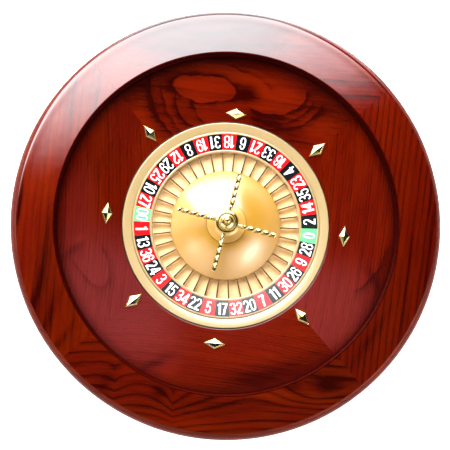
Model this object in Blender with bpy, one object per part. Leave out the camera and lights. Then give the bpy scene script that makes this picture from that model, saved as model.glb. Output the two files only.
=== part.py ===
# Tabletop roulette wheel: a turned, mitred wooden bowl with a rim, a rotor that
# spins on a fixed steel spindle through two ball bearings, and a four-armed turret.
# Units are metres (dimensions below are given in millimetres times MM), +Z up.
# The origin is the centre of the circle the rubber feet stand on.
# The mitre joints lie at 45 degrees to X and Y; the deflectors lie on the mitres
# and on the X and Y axes.
import math

import bmesh
import bpy
from mathutils import Matrix, Vector

for old in list(bpy.data.objects):
    bpy.data.objects.remove(old, do_unlink=True)

MM = 0.001
GAP = 0.3  # clearance kept between pieces that touch

# ---------------------------------------------------------------- driving sizes (mm)
FOOT_R, FOOT_H, FOOT_AT = 13.0, 5.0, 150.0
BASE_R, BASE_Z0, BASE_Z1 = 186.0, 5.3, 13.3
BOARD_Z0 = 13.6
RIM_R = 250.0          # widest radius of the rim
RIM_IN_R = 199.0       # inner edge of the rim, above the ball track
RIM_TOP_Z = 72.2       # crown of the rim at its inner edge
SHOULDER_Z = 64.0      # seat of the rim boards on the bowl boards
SHOULDER_R = 232.2
SKIRT_Z = 48.3         # underside of the rim's outer skirt
BOWL_IN_R = 121.6      # wall of the rotor well
BOWL_LIP_Z = 44.8      # foot of the bowl's slope
BOWL_SLOPE = math.radians(9.0)
TRACK_R = 1.6          # radius of the corner where the slope meets the wall the ball runs round
MITRE_GAP = 0.15       # half of the joint line between boards
ROTOR_RING_R, ROTOR_RING_IN, ROTOR_TOP_Z = 120.1, 109.9, 46.0
RING_DISH = 1.0        # the ring's face falls this much towards the number band
BAND_OUT_R, BAND_IN_R = 108.6, 88.9      # painted number band
BAND_OUT_Z, BAND_IN_Z = 45.2, 41.9
WALL_TOP_R, WALL_FOOT_R = 86.3, 85.5     # outer wall of the pockets
FLOOR_Z0, FLOOR_Z1 = 28.3, 30.2          # floor of the pockets
POCKETS = 38
FRET_IN_R, FRET_OUT_R, FRET_TOP_Z = 65.0, 84.9, 39.8
FRET_W = 1.3
POCKET_TURN = math.radians(3.05)         # a fret's angle from +X with the wheel at rest
DOME_R, DOME_EDGE_Z, DOME_TOP_Z = 64.2, 41.0, 62.4
DOME_WALL = 2.4
PLATE_R, PLATE_Z0, PLATE_Z1 = 118.0, 23.0, 28.0
TURRET_R, TURRET_Z = 22.9, 62.7
ARM_Z, ARM_TIP_R, ARM_ROOT_R, ARM_W = 75.6, 58.9, 6.6, 4.3
ARM_TURN = math.radians(-9.9)            # first arm's angle from +X at rest
KNOB_TOP_Z = 103.0
SPINDLE_R = 5.7
RACE_IN = (6.0, 8.7)                     # inner race: bore and outer radius
RACE_OUT = (11.3, 14.0)                  # outer race
BEARING_W = 8.0
LOWER_BEARING_Z, UPPER_BEARING_Z = 24.0, 44.0
DEFLECTOR_L, DEFLECTOR_W, DEFLECTOR_H = 25.0, 13.0, 4.6
DEFLECTOR_R = 139.3
NEAR_DEFLECTOR_R = 131.8                 # the one on +Y sits nearer to the rotor


# ---------------------------------------------------------------- materials
def material(name, rgb, rough, metal):
    m = bpy.data.materials.new(name)
    m.use_nodes = True
    b = m.node_tree.nodes.get("Principled BSDF")
    b.inputs["Base Color"].default_value = (*rgb, 1.0)
    b.inputs["Roughness"].default_value = rough
    b.inputs["Metallic"].default_value = metal
    m.diffuse_color = (*rgb, 1.0)
    return m


RIM_WOOD = material("rim_mahogany", (0.26, 0.022, 0.006), 0.18, 0.0)
BOWL_WOOD = material("bowl_mahogany", (0.30, 0.020, 0.008), 0.22, 0.0)
PLY = material("base_plywood", (0.35, 0.20, 0.10), 0.6, 0.0)
RUBBER = material("black_rubber", (0.02, 0.02, 0.02), 0.85, 0.0)
STEEL = material("bright_steel", (0.62, 0.62, 0.63), 0.28, 1.0)
BEARING = material("bearing_steel", (0.70, 0.71, 0.73), 0.15, 1.0)
BRASS = material("polished_brass", (0.90, 0.72, 0.33), 0.08, 1.0)
GOLD = material("satin_gold", (0.90, 0.70, 0.36), 0.30, 1.0)
BAND = material("number_band_enamel", (0.03, 0.03, 0.035), 0.25, 0.0)
ALLOY = material("cast_alloy", (0.55, 0.55, 0.56), 0.45, 1.0)


# ---------------------------------------------------------------- helpers
def finish(name, bm, mat, smooth=30.0):
    bmesh.ops.recalc_face_normals(bm, faces=bm.faces)
    mesh = bpy.data.meshes.new(name)
    bm.to_mesh(mesh)
    bm.free()
    ob = bpy.data.objects.new(name, mesh)
    bpy.context.scene.collection.objects.link(ob)
    mesh.materials.append(mat)
    mesh.shade_smooth()
    mesh.set_sharp_from_angle(angle=math.radians(smooth))
    return ob


def ring_verts(bm, profile, angle, at=(0.0, 0.0)):
    c, s = math.cos(angle), math.sin(angle)
    return [bm.verts.new((MM * (at[0] + r * c), MM * (at[1] + r * s), MM * z)) for r, z in profile]


def turned(name, profile, segs, mat, at=(0.0, 0.0), turn=0.0, smooth=30.0):
    """A closed (r, z) outline turned about a vertical line at `at`. An outline that
    starts and ends at r = 0 is closed on the axis, any other makes a ring."""
    bm = bmesh.new()
    solid = profile[0][0] == 0.0 and profile[-1][0] == 0.0
    body = profile[1:-1] if solid else profile
    rows = [ring_verts(bm, body, turn + 2 * math.pi * i / segs, at) for i in range(segs)]
    n = len(body)
    for i in range(segs):
        a, b = rows[i], rows[(i + 1) % segs]
        for j in range(n - 1 if solid else n):
            k = (j + 1) % n
            bm.faces.new((a[j], b[j], b[k], a[k]))
    if solid:
        bm.faces.new([row[0] for row in rows])
        bm.faces.new([row[-1] for row in rows])
    return finish(name, bm, mat, smooth)


def board(name, profile, quarter, segs, mat):
    """One mitred quarter of a turned ring. Its end faces are planes, parallel to the
    mitre and MITRE_GAP away from it."""
    bm = bmesh.new()
    a0 = math.radians(45.0 + 90.0 * quarter)
    a1 = a0 + math.pi / 2
    rows = []
    for i in range(segs + 1):
        t = i / segs
        row = []
        for r, z in profile:
            d = math.asin(MITRE_GAP / r)
            a = (a0 + d) * (1 - t) + (a1 - d) * t
            row.append(bm.verts.new((MM * r * math.cos(a), MM * r * math.sin(a), MM * z)))
        rows.append(row)
    n = len(profile)
    for i in range(segs):
        a, b = rows[i], rows[i + 1]
        for j in range(n):
            k = (j + 1) % n
            bm.faces.new((a[j], b[j], b[k], a[k]))
    bm.faces.new(rows[0])
    bm.faces.new(rows[-1])
    return finish(name, bm, mat)


def drill(ob, points, radius, z0, z1, label, segs=12):
    """Round holes through ob at each (x, y) point, from z0 to z1."""
    bm = bmesh.new()
    for x, y in points:
        lo = [bm.verts.new((MM * (x + radius * math.cos(2 * math.pi * i / segs)), MM * (y + radius * math.sin(2 * math.pi * i / segs)), MM * z0)) for i in range(segs)]
        hi = [bm.verts.new((v.co.x, v.co.y, MM * z1)) for v in lo]
        for i in range(segs):
            j = (i + 1) % segs
            bm.faces.new((lo[i], lo[j], hi[j], hi[i]))
        bm.faces.new(lo)
        bm.faces.new(hi)
    cutter = finish(label, bm, STEEL)
    cutter.hide_render = True
    cutter.display_type = "WIRE"
    mod = ob.modifiers.new(label, "BOOLEAN")
    mod.operation = "DIFFERENCE"
    mod.solver = "EXACT"
    mod.object = cutter


def screw(name, x, y, head_z, shank_z, head_r, shank_r, up=True, head_h=2.0):
    """A pan-head screw. head_z is the seat of its head, shank_z its point."""
    s = 1.0 if up else -1.0
    outline = [(0.0, head_z + s * head_h), (head_r * 0.72, head_z + s * head_h), (head_r, head_z + s * head_h * 0.45), (head_r, head_z), (shank_r, head_z), (shank_r, shank_z + s * 1.5), (0.6, shank_z), (0.0, shank_z)]
    return turned(name, outline, 10, STEEL, at=(x, y))


def polar(r, a):
    return r * math.cos(a), r * math.sin(a)


def centred(ob, x, y, z):
    """Moves an object's origin to a point, leaving its shape where it is."""
    p = Vector((MM * x, MM * y, MM * z))
    ob.data.transform(Matrix.Translation(-p))
    ob.location = p
    return ob


# ---------------------------------------------------------------- the fixed bowl
spindle_holes = [polar(20.0, math.radians(30 + 120 * k)) for k in range(3)]
foot_points = [polar(FOOT_AT, math.radians(90.0 * k)) for k in range(4)]

base = turned(
    "base_plate",
    [(0.0, BASE_Z0), (BASE_R - 2.0, BASE_Z0), (BASE_R, BASE_Z0 + 2.0), (BASE_R, BASE_Z1), (0.0, BASE_Z1)],
    48,
    PLY,
)
drill(base, foot_points, 2.4, BASE_Z0 - 1.0, BASE_Z0 + 6.4, "foot_pilot_cut")
drill(base, spindle_holes, 2.4, BASE_Z1 - 6.0, BASE_Z1 + 1.0, "spindle_pilot_cut")

foot_profile = [(2.6, FOOT_H), (2.6, 2.6), (6.4, 2.6), (6.4, 0.0), (FOOT_R - 1.2, 0.0), (FOOT_R, 1.0), (FOOT_R - 1.0, FOOT_H)]
for k, (x, y) in enumerate(foot_points):
    turned(f"foot_{k + 1}", foot_profile, 14, RUBBER, at=(x, y))
    screw(f"foot_screw_{k + 1}", x, y, 2.3, 11.0, 5.0, 2.0, up=False, head_h=1.7)

bowl = [(BOWL_IN_R, BOARD_Z0), (BOWL_IN_R, BOWL_LIP_Z - 1.8), (BOWL_IN_R + 0.8, BOWL_LIP_Z - 0.5), (BOWL_IN_R + 2.6, BOWL_LIP_Z)]
track_c_r = RIM_IN_R - TRACK_R
slope_end_r = track_c_r + TRACK_R * math.sin(BOWL_SLOPE)
slope_end_z = BOWL_LIP_Z + (slope_end_r - BOWL_IN_R - 2.6) * math.tan(BOWL_SLOPE)
track_c_z = slope_end_z + TRACK_R * math.cos(BOWL_SLOPE)
for deg in (9.0, 48.0, 87.0):
    t = math.radians(deg)
    bowl.append((track_c_r + TRACK_R * math.sin(t), track_c_z - TRACK_R * math.cos(t)))
bowl += [
    (RIM_IN_R, SHOULDER_Z),
    (SHOULDER_R, SHOULDER_Z),
    (SHOULDER_R, SKIRT_Z - GAP),
    (236.0, SKIRT_Z - GAP),
    (229.0, 38.5),
    (214.0, 27.0),
    (198.0, 18.2),
    (189.0, BOARD_Z0),
]
rim = [
    (RIM_IN_R + 0.3, SHOULDER_Z + GAP),
    (RIM_IN_R + 0.1, RIM_TOP_Z - 1.9),
    (RIM_IN_R + 0.7, RIM_TOP_Z - 0.5),
    (RIM_IN_R + 2.2, RIM_TOP_Z),
    (RIM_R - 11.0, RIM_TOP_Z - 3.0),
    (RIM_R - 5.0, RIM_TOP_Z - 4.6),
    (RIM_R - 1.3, RIM_TOP_Z - 8.0),
    (RIM_R, RIM_TOP_Z - 12.5),
    (RIM_R - 1.0, RIM_TOP_Z - 17.5),
    (RIM_R - 4.2, SKIRT_Z + 2.2),
    (RIM_R - 9.5, SKIRT_Z),
    (SHOULDER_R + GAP, SKIRT_Z),
    (SHOULDER_R + GAP, SHOULDER_Z + GAP),
]
sides = ("back", "left", "front", "right")  # +Y, -X, -Y, +X
for q in range(4):
    board(f"bowl_board_{sides[q]}", bowl, q, 16, BOWL_WOOD)
    board(f"rim_board_{sides[q]}", rim, q, 16, RIM_WOOD)


def deflector(name, angle, radius, radial):
    """A four-faced brass diamond, its foot parallel to the bowl's slope."""
    z = BOWL_LIP_Z + (radius - BOWL_IN_R - 2.6) * math.tan(BOWL_SLOPE)
    out = Vector((math.cos(angle), math.sin(angle), 0.0))
    side = Vector((-out.y, out.x, 0.0))
    up_slope = out * math.cos(BOWL_SLOPE) + Vector((0, 0, math.sin(BOWL_SLOPE)))
    normal = Vector((0, 0, math.cos(BOWL_SLOPE))) - out * math.sin(BOWL_SLOPE)
    long_dir, short_dir = (up_slope, side) if radial else (side, up_slope)
    p = MM * (out * radius + Vector((0, 0, z)) + normal * (GAP + 0.12))
    bm = bmesh.new()
    feet, edges = [], []
    for a, b in ((1, 0), (0, 1), (-1, 0), (0, -1)):
        q = long_dir * (a * DEFLECTOR_L / 2) + short_dir * (b * DEFLECTOR_W / 2)
        feet.append(bm.verts.new(MM * q))
        edges.append(bm.verts.new(MM * (q + normal * 1.0)))
    top = bm.verts.new(MM * (normal * DEFLECTOR_H))
    bm.faces.new(feet)
    for i in range(4):
        j = (i + 1) % 4
        bm.faces.new((feet[i], feet[j], edges[j], edges[i]))
        bm.faces.new((edges[i], edges[j], top))
    ob = finish(name, bm, BRASS)
    ob.location = p
    return ob


for k in range(8):
    ang = math.radians(45.0 * k)
    deflector(f"deflector_{k + 1}", ang, NEAR_DEFLECTOR_R if k == 2 else DEFLECTOR_R, radial=k % 2 == 1)

# ---------------------------------------------------------------- the spindle
SHAFT_TOP_Z = UPPER_BEARING_Z + BEARING_W + 5.6
spindle = turned(
    "spindle",
    [
        (0.0, BOARD_Z0),
        (27.0, BOARD_Z0),
        (27.0, 17.6),
        (10.5, 18.2),
        (8.4, 20.5),
        (8.4, LOWER_BEARING_Z - GAP),
        (SPINDLE_R, LOWER_BEARING_Z - GAP),
        (SPINDLE_R, SHAFT_TOP_Z - 0.8),
        (SPINDLE_R - 0.8, SHAFT_TOP_Z),
        (0.0, SHAFT_TOP_Z),
    ],
    24,
    STEEL,
)
drill(spindle, spindle_holes, 2.4, BOARD_Z0 - 1.0, 19.0, "spindle_hole_cut")
for k, (x, y) in enumerate(spindle_holes):
    screw(f"spindle_screw_{k + 1}", x, y, 18.3, 7.8, 4.2, 2.0)

nut_z0, nut_z1 = UPPER_BEARING_Z + BEARING_W + GAP, SHAFT_TOP_Z - 1.2
nut = turned("spindle_nut", [(0.0, nut_z0), (9.6, nut_z0), (9.6, nut_z1), (0.0, nut_z1)], 6, STEEL, smooth=20.0)
drill(nut, [(0.0, 0.0)], 6.05, nut_z0 - 1.0, nut_z1 + 1.0, "nut_thread_cut", segs=24)


def inner_race(name, z0):
    a, b = RACE_IN
    m = z0 + BEARING_W / 2
    return turned(name, [(a, z0), (b, z0), (b, m - 1.9), (b - 0.95, m), (b, m + 1.9), (b, z0 + BEARING_W), (a, z0 + BEARING_W)], 16, BEARING)


def outer_race(name, z0):
    a, b = RACE_OUT
    m = z0 + BEARING_W / 2
    return turned(name, [(b, z0), (b, z0 + BEARING_W), (a, z0 + BEARING_W), (a, m + 1.9), (a + 0.95, m), (a, m - 1.9), (a, z0)], 16, BEARING)


def ball_set(name, z0, count=7, ball_r=1.85, at_r=10.0):
    """The balls and their cage, as one closed body."""
    m = z0 + BEARING_W / 2
    cage = turned(name, [(at_r - 0.75, m - 0.6), (at_r + 0.75, m - 0.6), (at_r + 0.75, m + 0.6), (at_r - 0.75, m + 0.6)], 21, BEARING)
    bm = bmesh.new()
    for k in range(count):
        x, y = polar(at_r, 2 * math.pi * (k + 0.5) / count)
        bmesh.ops.create_uvsphere(bm, u_segments=8, v_segments=4, radius=MM * ball_r, matrix=Matrix.Translation((MM * x, MM * y, MM * m)) @ Matrix.Rotation(0.3, 4, "Z"))
    balls = finish(name + "_balls", bm, BEARING)
    balls.hide_render = True
    balls.display_type = "WIRE"
    mod = cage.modifiers.new("balls", "BOOLEAN")
    mod.operation = "UNION"
    mod.solver = "EXACT"
    mod.object = balls
    return cage


inner_race("lower_inner_race", LOWER_BEARING_Z)
inner_race("upper_inner_race", UPPER_BEARING_Z)
turned("race_spacer", [(6.0, LOWER_BEARING_Z + BEARING_W + GAP), (7.8, LOWER_BEARING_Z + BEARING_W + GAP), (7.8, UPPER_BEARING_Z - GAP), (6.0, UPPER_BEARING_Z - GAP)], 20, STEEL)

# ---------------------------------------------------------------- the rotor
axis = bpy.data.objects.new("rotor_axis", None)
bpy.context.scene.collection.objects.link(axis)
moving = [
    ball_set("lower_ball_cage", LOWER_BEARING_Z),
    ball_set("upper_ball_cage", UPPER_BEARING_Z),
    outer_race("lower_outer_race", LOWER_BEARING_Z),
    outer_race("upper_outer_race", UPPER_BEARING_Z),
]

housing_holes = [polar(28.5, math.radians(45 + 90 * k)) for k in range(4)]
housing = turned(
    "bearing_housing",
    [(14.3, 23.4), (21.4, 23.4), (21.4, PLATE_Z1 + GAP), (34.0, PLATE_Z1 + GAP), (34.0, PLATE_Z1 + 2.8), (22.6, PLATE_Z1 + 3.4), (21.4, PLATE_Z1 + 5.0), (21.4, 54.0), (20.2, 55.2), (14.3, 55.2)],
    24,
    ALLOY,
)
drill(housing, housing_holes, 2.2, PLATE_Z1 - 1.0, PLATE_Z1 + 6.0, "housing_hole_cut")
moving.append(housing)
plate = turned("rotor_plate", [(21.7, PLATE_Z0), (PLATE_R - 2.5, PLATE_Z0), (PLATE_R, PLATE_Z0 + 2.5), (PLATE_R, PLATE_Z1), (21.7, PLATE_Z1)], 48, ALLOY)
drill(plate, housing_holes, 2.2, PLATE_Z0 + 0.6, PLATE_Z1 + 1.0, "plate_hole_cut")
moving.append(plate)
for k, (x, y) in enumerate(housing_holes):
    moving.append(screw(f"housing_screw_{k + 1}", x, y, PLATE_Z1 + 3.3, PLATE_Z0 + 1.0, 3.6, 1.8))

moving.append(
    turned(
        "rotor_rim_ring",
        [
            (ROTOR_RING_IN, PLATE_Z1 + GAP),
            (PLATE_R - 0.5, PLATE_Z1 + GAP),
            (PLATE_R - 0.5, 40.0),
            (ROTOR_RING_R, 41.5),
            (ROTOR_RING_R, ROTOR_TOP_Z - 1.1),
            (ROTOR_RING_R - 1.0, ROTOR_TOP_Z),
            (ROTOR_RING_IN + 0.6, ROTOR_TOP_Z - RING_DISH),
            (ROTOR_RING_IN, ROTOR_TOP_Z - RING_DISH - 0.6),
        ],
        60,
        GOLD,
    )
)
moving.append(
    turned(
        "number_ring",
        [
            (BAND_OUT_R - 2.4, PLATE_Z1 + GAP),
            (BAND_OUT_R, PLATE_Z1 + GAP),
            (BAND_OUT_R, BAND_OUT_Z + 0.3),
            (BAND_OUT_R - 1.0, BAND_OUT_Z + 0.3),
            (BAND_OUT_R - 1.2, BAND_OUT_Z),
            (BAND_IN_R, BAND_IN_Z),
            (BAND_IN_R - 0.5, BAND_IN_Z + 0.5),
            (WALL_TOP_R, BAND_IN_Z + 0.3),
            (WALL_FOOT_R, FLOOR_Z1 + GAP),
            (WALL_FOOT_R + 2.2, FLOOR_Z1 + GAP),
            (BAND_IN_R, BAND_IN_Z - 2.4),
            (BAND_OUT_R - 2.4, BAND_OUT_Z - 2.4),
        ],
        60,
        BAND,
    )
)


def fret_ring(name):
    """The pocket floor, a flat ring, with the frets standing on it as one casting."""
    radii = (59.0, FRET_IN_R, FRET_OUT_R, 88.6)
    bm = bmesh.new()
    step = 2 * math.pi / POCKETS

    def vert(r, a, z):
        return bm.verts.new((MM * r * math.cos(a), MM * r * math.sin(a), MM * z))

    cols = []
    for k in range(POCKETS):
        mid = POCKET_TURN + k * step
        for s in (-0.5, 0.5):
            half = [FRET_W * s / 72.0, FRET_W * s / FRET_IN_R, FRET_W * s / FRET_OUT_R, FRET_W * s / 80.0]
            floor = [vert(r, mid + h, FLOOR_Z1) for r, h in zip(radii, half)]
            top = [vert(radii[i], mid + half[i], FRET_TOP_Z) for i in (1, 2)]
            under = [vert(radii[i], mid + half[i], FLOOR_Z0) for i in (0, 3)]
            cols.append((floor, top, under))
    n = len(cols)
    for i in range(n):
        (f0, t0, u0), (f1, t1, u1) = cols[i], cols[(i + 1) % n]
        fret = i % 2 == 0
        for j in range(3):
            if not (fret and j == 1):
                bm.faces.new((f0[j], f0[j + 1], f1[j + 1], f1[j]))
        if fret:
            bm.faces.new((t0[0], t0[1], t1[1], t1[0]))
            bm.faces.new((f0[1], f1[1], t1[0], t0[0]))
            bm.faces.new((f0[2], f1[2], t1[1], t0[1]))
            bm.faces.new((f0[1], f0[2], t0[1], t0[0]))
            bm.faces.new((f1[1], f1[2], t1[1], t1[0]))
        bm.faces.new((u0[0], u0[1], u1[1], u1[0]))
        bm.faces.new((f0[0], f1[0], u1[0], u0[0]))
        bm.faces.new((f0[3], f1[3], u1[1], u0[1]))
    return finish(name, bm, GOLD, smooth=25.0)


moving.append(fret_ring("fret_ring"))

# the dome: steep at its edge, flatter towards the turret
dome_outer = []
steps = 7
for i in range(steps + 1):
    t = i / steps
    r = DOME_R - 0.9 - t * (DOME_R - 0.9 - TURRET_R + 1.2)
    rise = 1.0 - (1.0 - t) ** 1.42
    dome_outer.append((r, DOME_EDGE_Z + rise * (DOME_TOP_Z - DOME_EDGE_Z)))
dome = [(DOME_R - DOME_WALL, FLOOR_Z1 + GAP), (DOME_R, FLOOR_Z1 + GAP), (DOME_R, DOME_EDGE_Z - 1.0)] + dome_outer
dome += [(9.0, DOME_TOP_Z + 0.0), (9.0, DOME_TOP_Z - DOME_WALL)]
dome += [(r - 1.8, z - DOME_WALL - 0.2) for r, z in reversed(dome_outer[::2])]
moving.append(turned("dome", dome, 40, GOLD, smooth=40.0))

# ---------------------------------------------------------------- the turret
moving.append(
    turned(
        "turret_base",
        [
            (0.0, DOME_TOP_Z - 2.0),
            (8.7, DOME_TOP_Z - 2.0),
            (8.7, TURRET_Z),
            (TURRET_R, TURRET_Z),
            (TURRET_R, TURRET_Z + 1.0),
            (TURRET_R - 0.8, TURRET_Z + 1.6),
            (15.0, TURRET_Z + 3.2),
            (11.6, TURRET_Z + 5.4),
            (10.0, TURRET_Z + 8.2),
            (0.0, TURRET_Z + 8.2),
        ],
        24,
        GOLD,
    )
)
HUB_Z0, HUB_Z1 = TURRET_Z + 8.5, 80.4
hub = turned(
    "turret_hub",
    [(0.0, HUB_Z0), (10.6, HUB_Z0), (11.7, HUB_Z0 + 1.2), (11.7, HUB_Z1 - 1.2), (10.8, HUB_Z1), (0.0, HUB_Z1)],
    24,
    BRASS,
)
moving.append(hub)


def arm_socket_cut():
    bm = bmesh.new()
    for k in range(4):
        a = ARM_TURN + k * math.pi / 2
        place = Matrix.Rotation(a, 4, "Z") @ Matrix.Translation((MM * 11.0, 0, MM * ARM_Z)) @ Matrix.Rotation(math.pi / 2, 4, "Y")
        bmesh.ops.create_cone(bm, cap_ends=True, segments=10, radius1=MM * 2.8, radius2=MM * 2.8, depth=MM * 10.0, matrix=place)
    cutter = finish("arm_socket_cut", bm, BRASS)
    cutter.hide_render = True
    cutter.display_type = "WIRE"
    mod = hub.modifiers.new("arm_sockets", "BOOLEAN")
    mod.operation = "DIFFERENCE"
    mod.solver = "EXACT"
    mod.object = cutter


arm_socket_cut()


def arm(name, angle):
    """A round root that screws into the hub, then a square bar with a full twist."""
    bm = bmesh.new()
    stations = []
    for x, kind in ((ARM_ROOT_R, 0), (19.0, 0)):
        stations.append((x, 2.35, 0.0, kind))
    count = 11
    for i in range(count + 1):
        t = i / count
        x = 20.5 + t * (ARM_TIP_R - 1.0 - 20.5)
        stations.append((x, ARM_W / 2, t * 2 * math.pi * (ARM_TIP_R - 20.5) / 36.0, 1))
    stations.append((ARM_TIP_R, ARM_W / 2 - 0.9, 2 * math.pi * (ARM_TIP_R - 20.5) / 36.0, 1))
    rows = []
    for x, size, twist, kind in stations:
        row = []
        for j in range(8):
            a = 2 * math.pi * j / 8
            rr = size if kind == 0 else size / max(abs(math.cos(a)), abs(math.sin(a))) * (0.86 if j % 2 else 1.0)
            row.append(bm.verts.new((MM * x, MM * rr * math.cos(a + twist), MM * (ARM_Z + rr * math.sin(a + twist)))))
        rows.append(row)
    for a, b in zip(rows, rows[1:]):
        for j in range(8):
            k = (j + 1) % 8
            bm.faces.new((a[j], b[j], b[k], a[k]))
    bm.faces.new(rows[0])
    bm.faces.new(rows[-1])
    bmesh.ops.transform(bm, matrix=Matrix.Rotation(angle, 4, "Z"), verts=bm.verts)
    return finish(name, bm, BRASS, smooth=35.0)


for k in range(4):
    moving.append(arm(f"turret_arm_{k + 1}", ARM_TURN + k * math.pi / 2))

CAP_Z0 = HUB_Z1 + GAP
moving.append(
    turned(
        "turret_cap",
        [
            (0.0, CAP_Z0),
            (12.6, CAP_Z0),
            (13.4, CAP_Z0 + 0.8),
            (13.4, CAP_Z0 + 2.6),
            (12.6, CAP_Z0 + 3.4),
            (10.9, CAP_Z0 + 3.9),
            (10.5, CAP_Z0 + 5.4),
            (8.6, CAP_Z0 + 8.2),
            (5.2, CAP_Z0 + 10.2),
            (0.0, CAP_Z0 + 10.2),
        ],
        24,
        BRASS,
    )
)
KNOB_Z0 = CAP_Z0 + 10.5
moving.append(
    turned(
        "finial",
        [
            (0.0, KNOB_Z0),
            (4.4, KNOB_Z0),
            (4.4, KNOB_Z0 + 1.0),
            (2.9, KNOB_Z0 + 1.9),
            (2.9, KNOB_Z0 + 3.4),
            (4.2, KNOB_Z0 + 5.0),
            (4.7, KNOB_Z0 + 7.0),
            (4.3, KNOB_Z0 + 9.2),
            (3.0, KNOB_TOP_Z - 0.8),
            (1.2, KNOB_TOP_Z),
            (0.0, KNOB_TOP_Z),
        ],
        18,
        BRASS,
    )
)
for ob in moving:
    ob.parent = axis
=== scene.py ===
import math

import bmesh
import bpy
import numpy as np
from mathutils import Matrix, Vector
from mathutils.geometry import delaunay_2d_cdt


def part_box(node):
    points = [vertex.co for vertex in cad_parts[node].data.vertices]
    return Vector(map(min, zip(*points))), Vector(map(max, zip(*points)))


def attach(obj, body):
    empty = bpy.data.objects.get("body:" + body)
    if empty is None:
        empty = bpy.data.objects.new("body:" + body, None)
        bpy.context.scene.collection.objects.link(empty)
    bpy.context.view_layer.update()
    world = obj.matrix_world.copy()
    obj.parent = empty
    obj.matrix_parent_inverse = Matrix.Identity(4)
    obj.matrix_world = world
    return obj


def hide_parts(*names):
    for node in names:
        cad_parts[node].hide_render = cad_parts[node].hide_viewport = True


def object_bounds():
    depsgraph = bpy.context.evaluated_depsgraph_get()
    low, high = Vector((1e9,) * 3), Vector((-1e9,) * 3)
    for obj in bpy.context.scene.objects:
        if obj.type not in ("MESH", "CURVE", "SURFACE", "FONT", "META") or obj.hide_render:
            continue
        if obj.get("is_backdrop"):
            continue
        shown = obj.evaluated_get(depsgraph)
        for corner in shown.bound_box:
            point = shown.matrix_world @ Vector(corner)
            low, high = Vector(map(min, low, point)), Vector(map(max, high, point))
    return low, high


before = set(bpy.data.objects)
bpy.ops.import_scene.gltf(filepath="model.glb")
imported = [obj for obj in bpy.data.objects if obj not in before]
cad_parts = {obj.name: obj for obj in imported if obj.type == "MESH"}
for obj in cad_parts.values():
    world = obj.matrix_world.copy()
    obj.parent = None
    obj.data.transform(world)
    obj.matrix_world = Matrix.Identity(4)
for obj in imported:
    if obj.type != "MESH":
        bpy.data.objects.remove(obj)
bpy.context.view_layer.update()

scene = bpy.context.scene
MM = 0.001
TAU = 2.0 * math.pi

# ------------------------------------------------------------------ where things are, from the frame
rim_lo, rim_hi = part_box("rim_board_right")
bowl_lo, bowl_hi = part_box("bowl_board_right")
ring_lo, ring_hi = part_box("rotor_rim_ring")
band_lo, band_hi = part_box("number_ring")
dome_lo, dome_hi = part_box("dome")
fret_lo, fret_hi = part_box("fret_ring")
knob_lo, knob_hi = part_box("finial")
cap_lo, cap_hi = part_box("turret_cap")
hub_lo, hub_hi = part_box("turret_hub")
flange_lo, flange_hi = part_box("turret_base")
base_lo, base_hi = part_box("base_plate")

RIM_R = rim_hi.x / MM            # 250
RIM_TOP = rim_hi.z / MM          # 72.2
RING_R = ring_hi.x / MM          # 120.1
RING_TOP = ring_hi.z / MM        # 46
DOME_R = dome_hi.x / MM          # 64.2
DOME_TOP = dome_hi.z / MM        # 62.4
BAND_TOP = band_hi.z / MM        # 45.5
FLOOR_TOP = 30.2
FRET_TOP = fret_hi.z / MM        # 39.8
KNOB_TOP = knob_hi.z / MM        # 103

SLOPE = math.radians(9.0)
BOWL_IN = 121.6
LIP_Z = 44.8
TRACK_R = 1.6
RIM_IN = 199.0
POCKETS = 38
STEP = TAU / POCKETS
FRET_0 = math.radians(3.05)
ORDER = ["0", "28", "9", "26", "30", "11", "7", "20", "32", "17", "5", "22", "34", "15", "3", "24", "36", "13", "1",
         "00", "27", "10", "25", "29", "12", "8", "19", "31", "18", "6", "21", "33", "16", "4", "23", "35", "14", "2"]
REDS = {1, 3, 5, 7, 9, 12, 14, 16, 18, 19, 21, 23, 25, 27, 30, 32, 34, 36}


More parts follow.
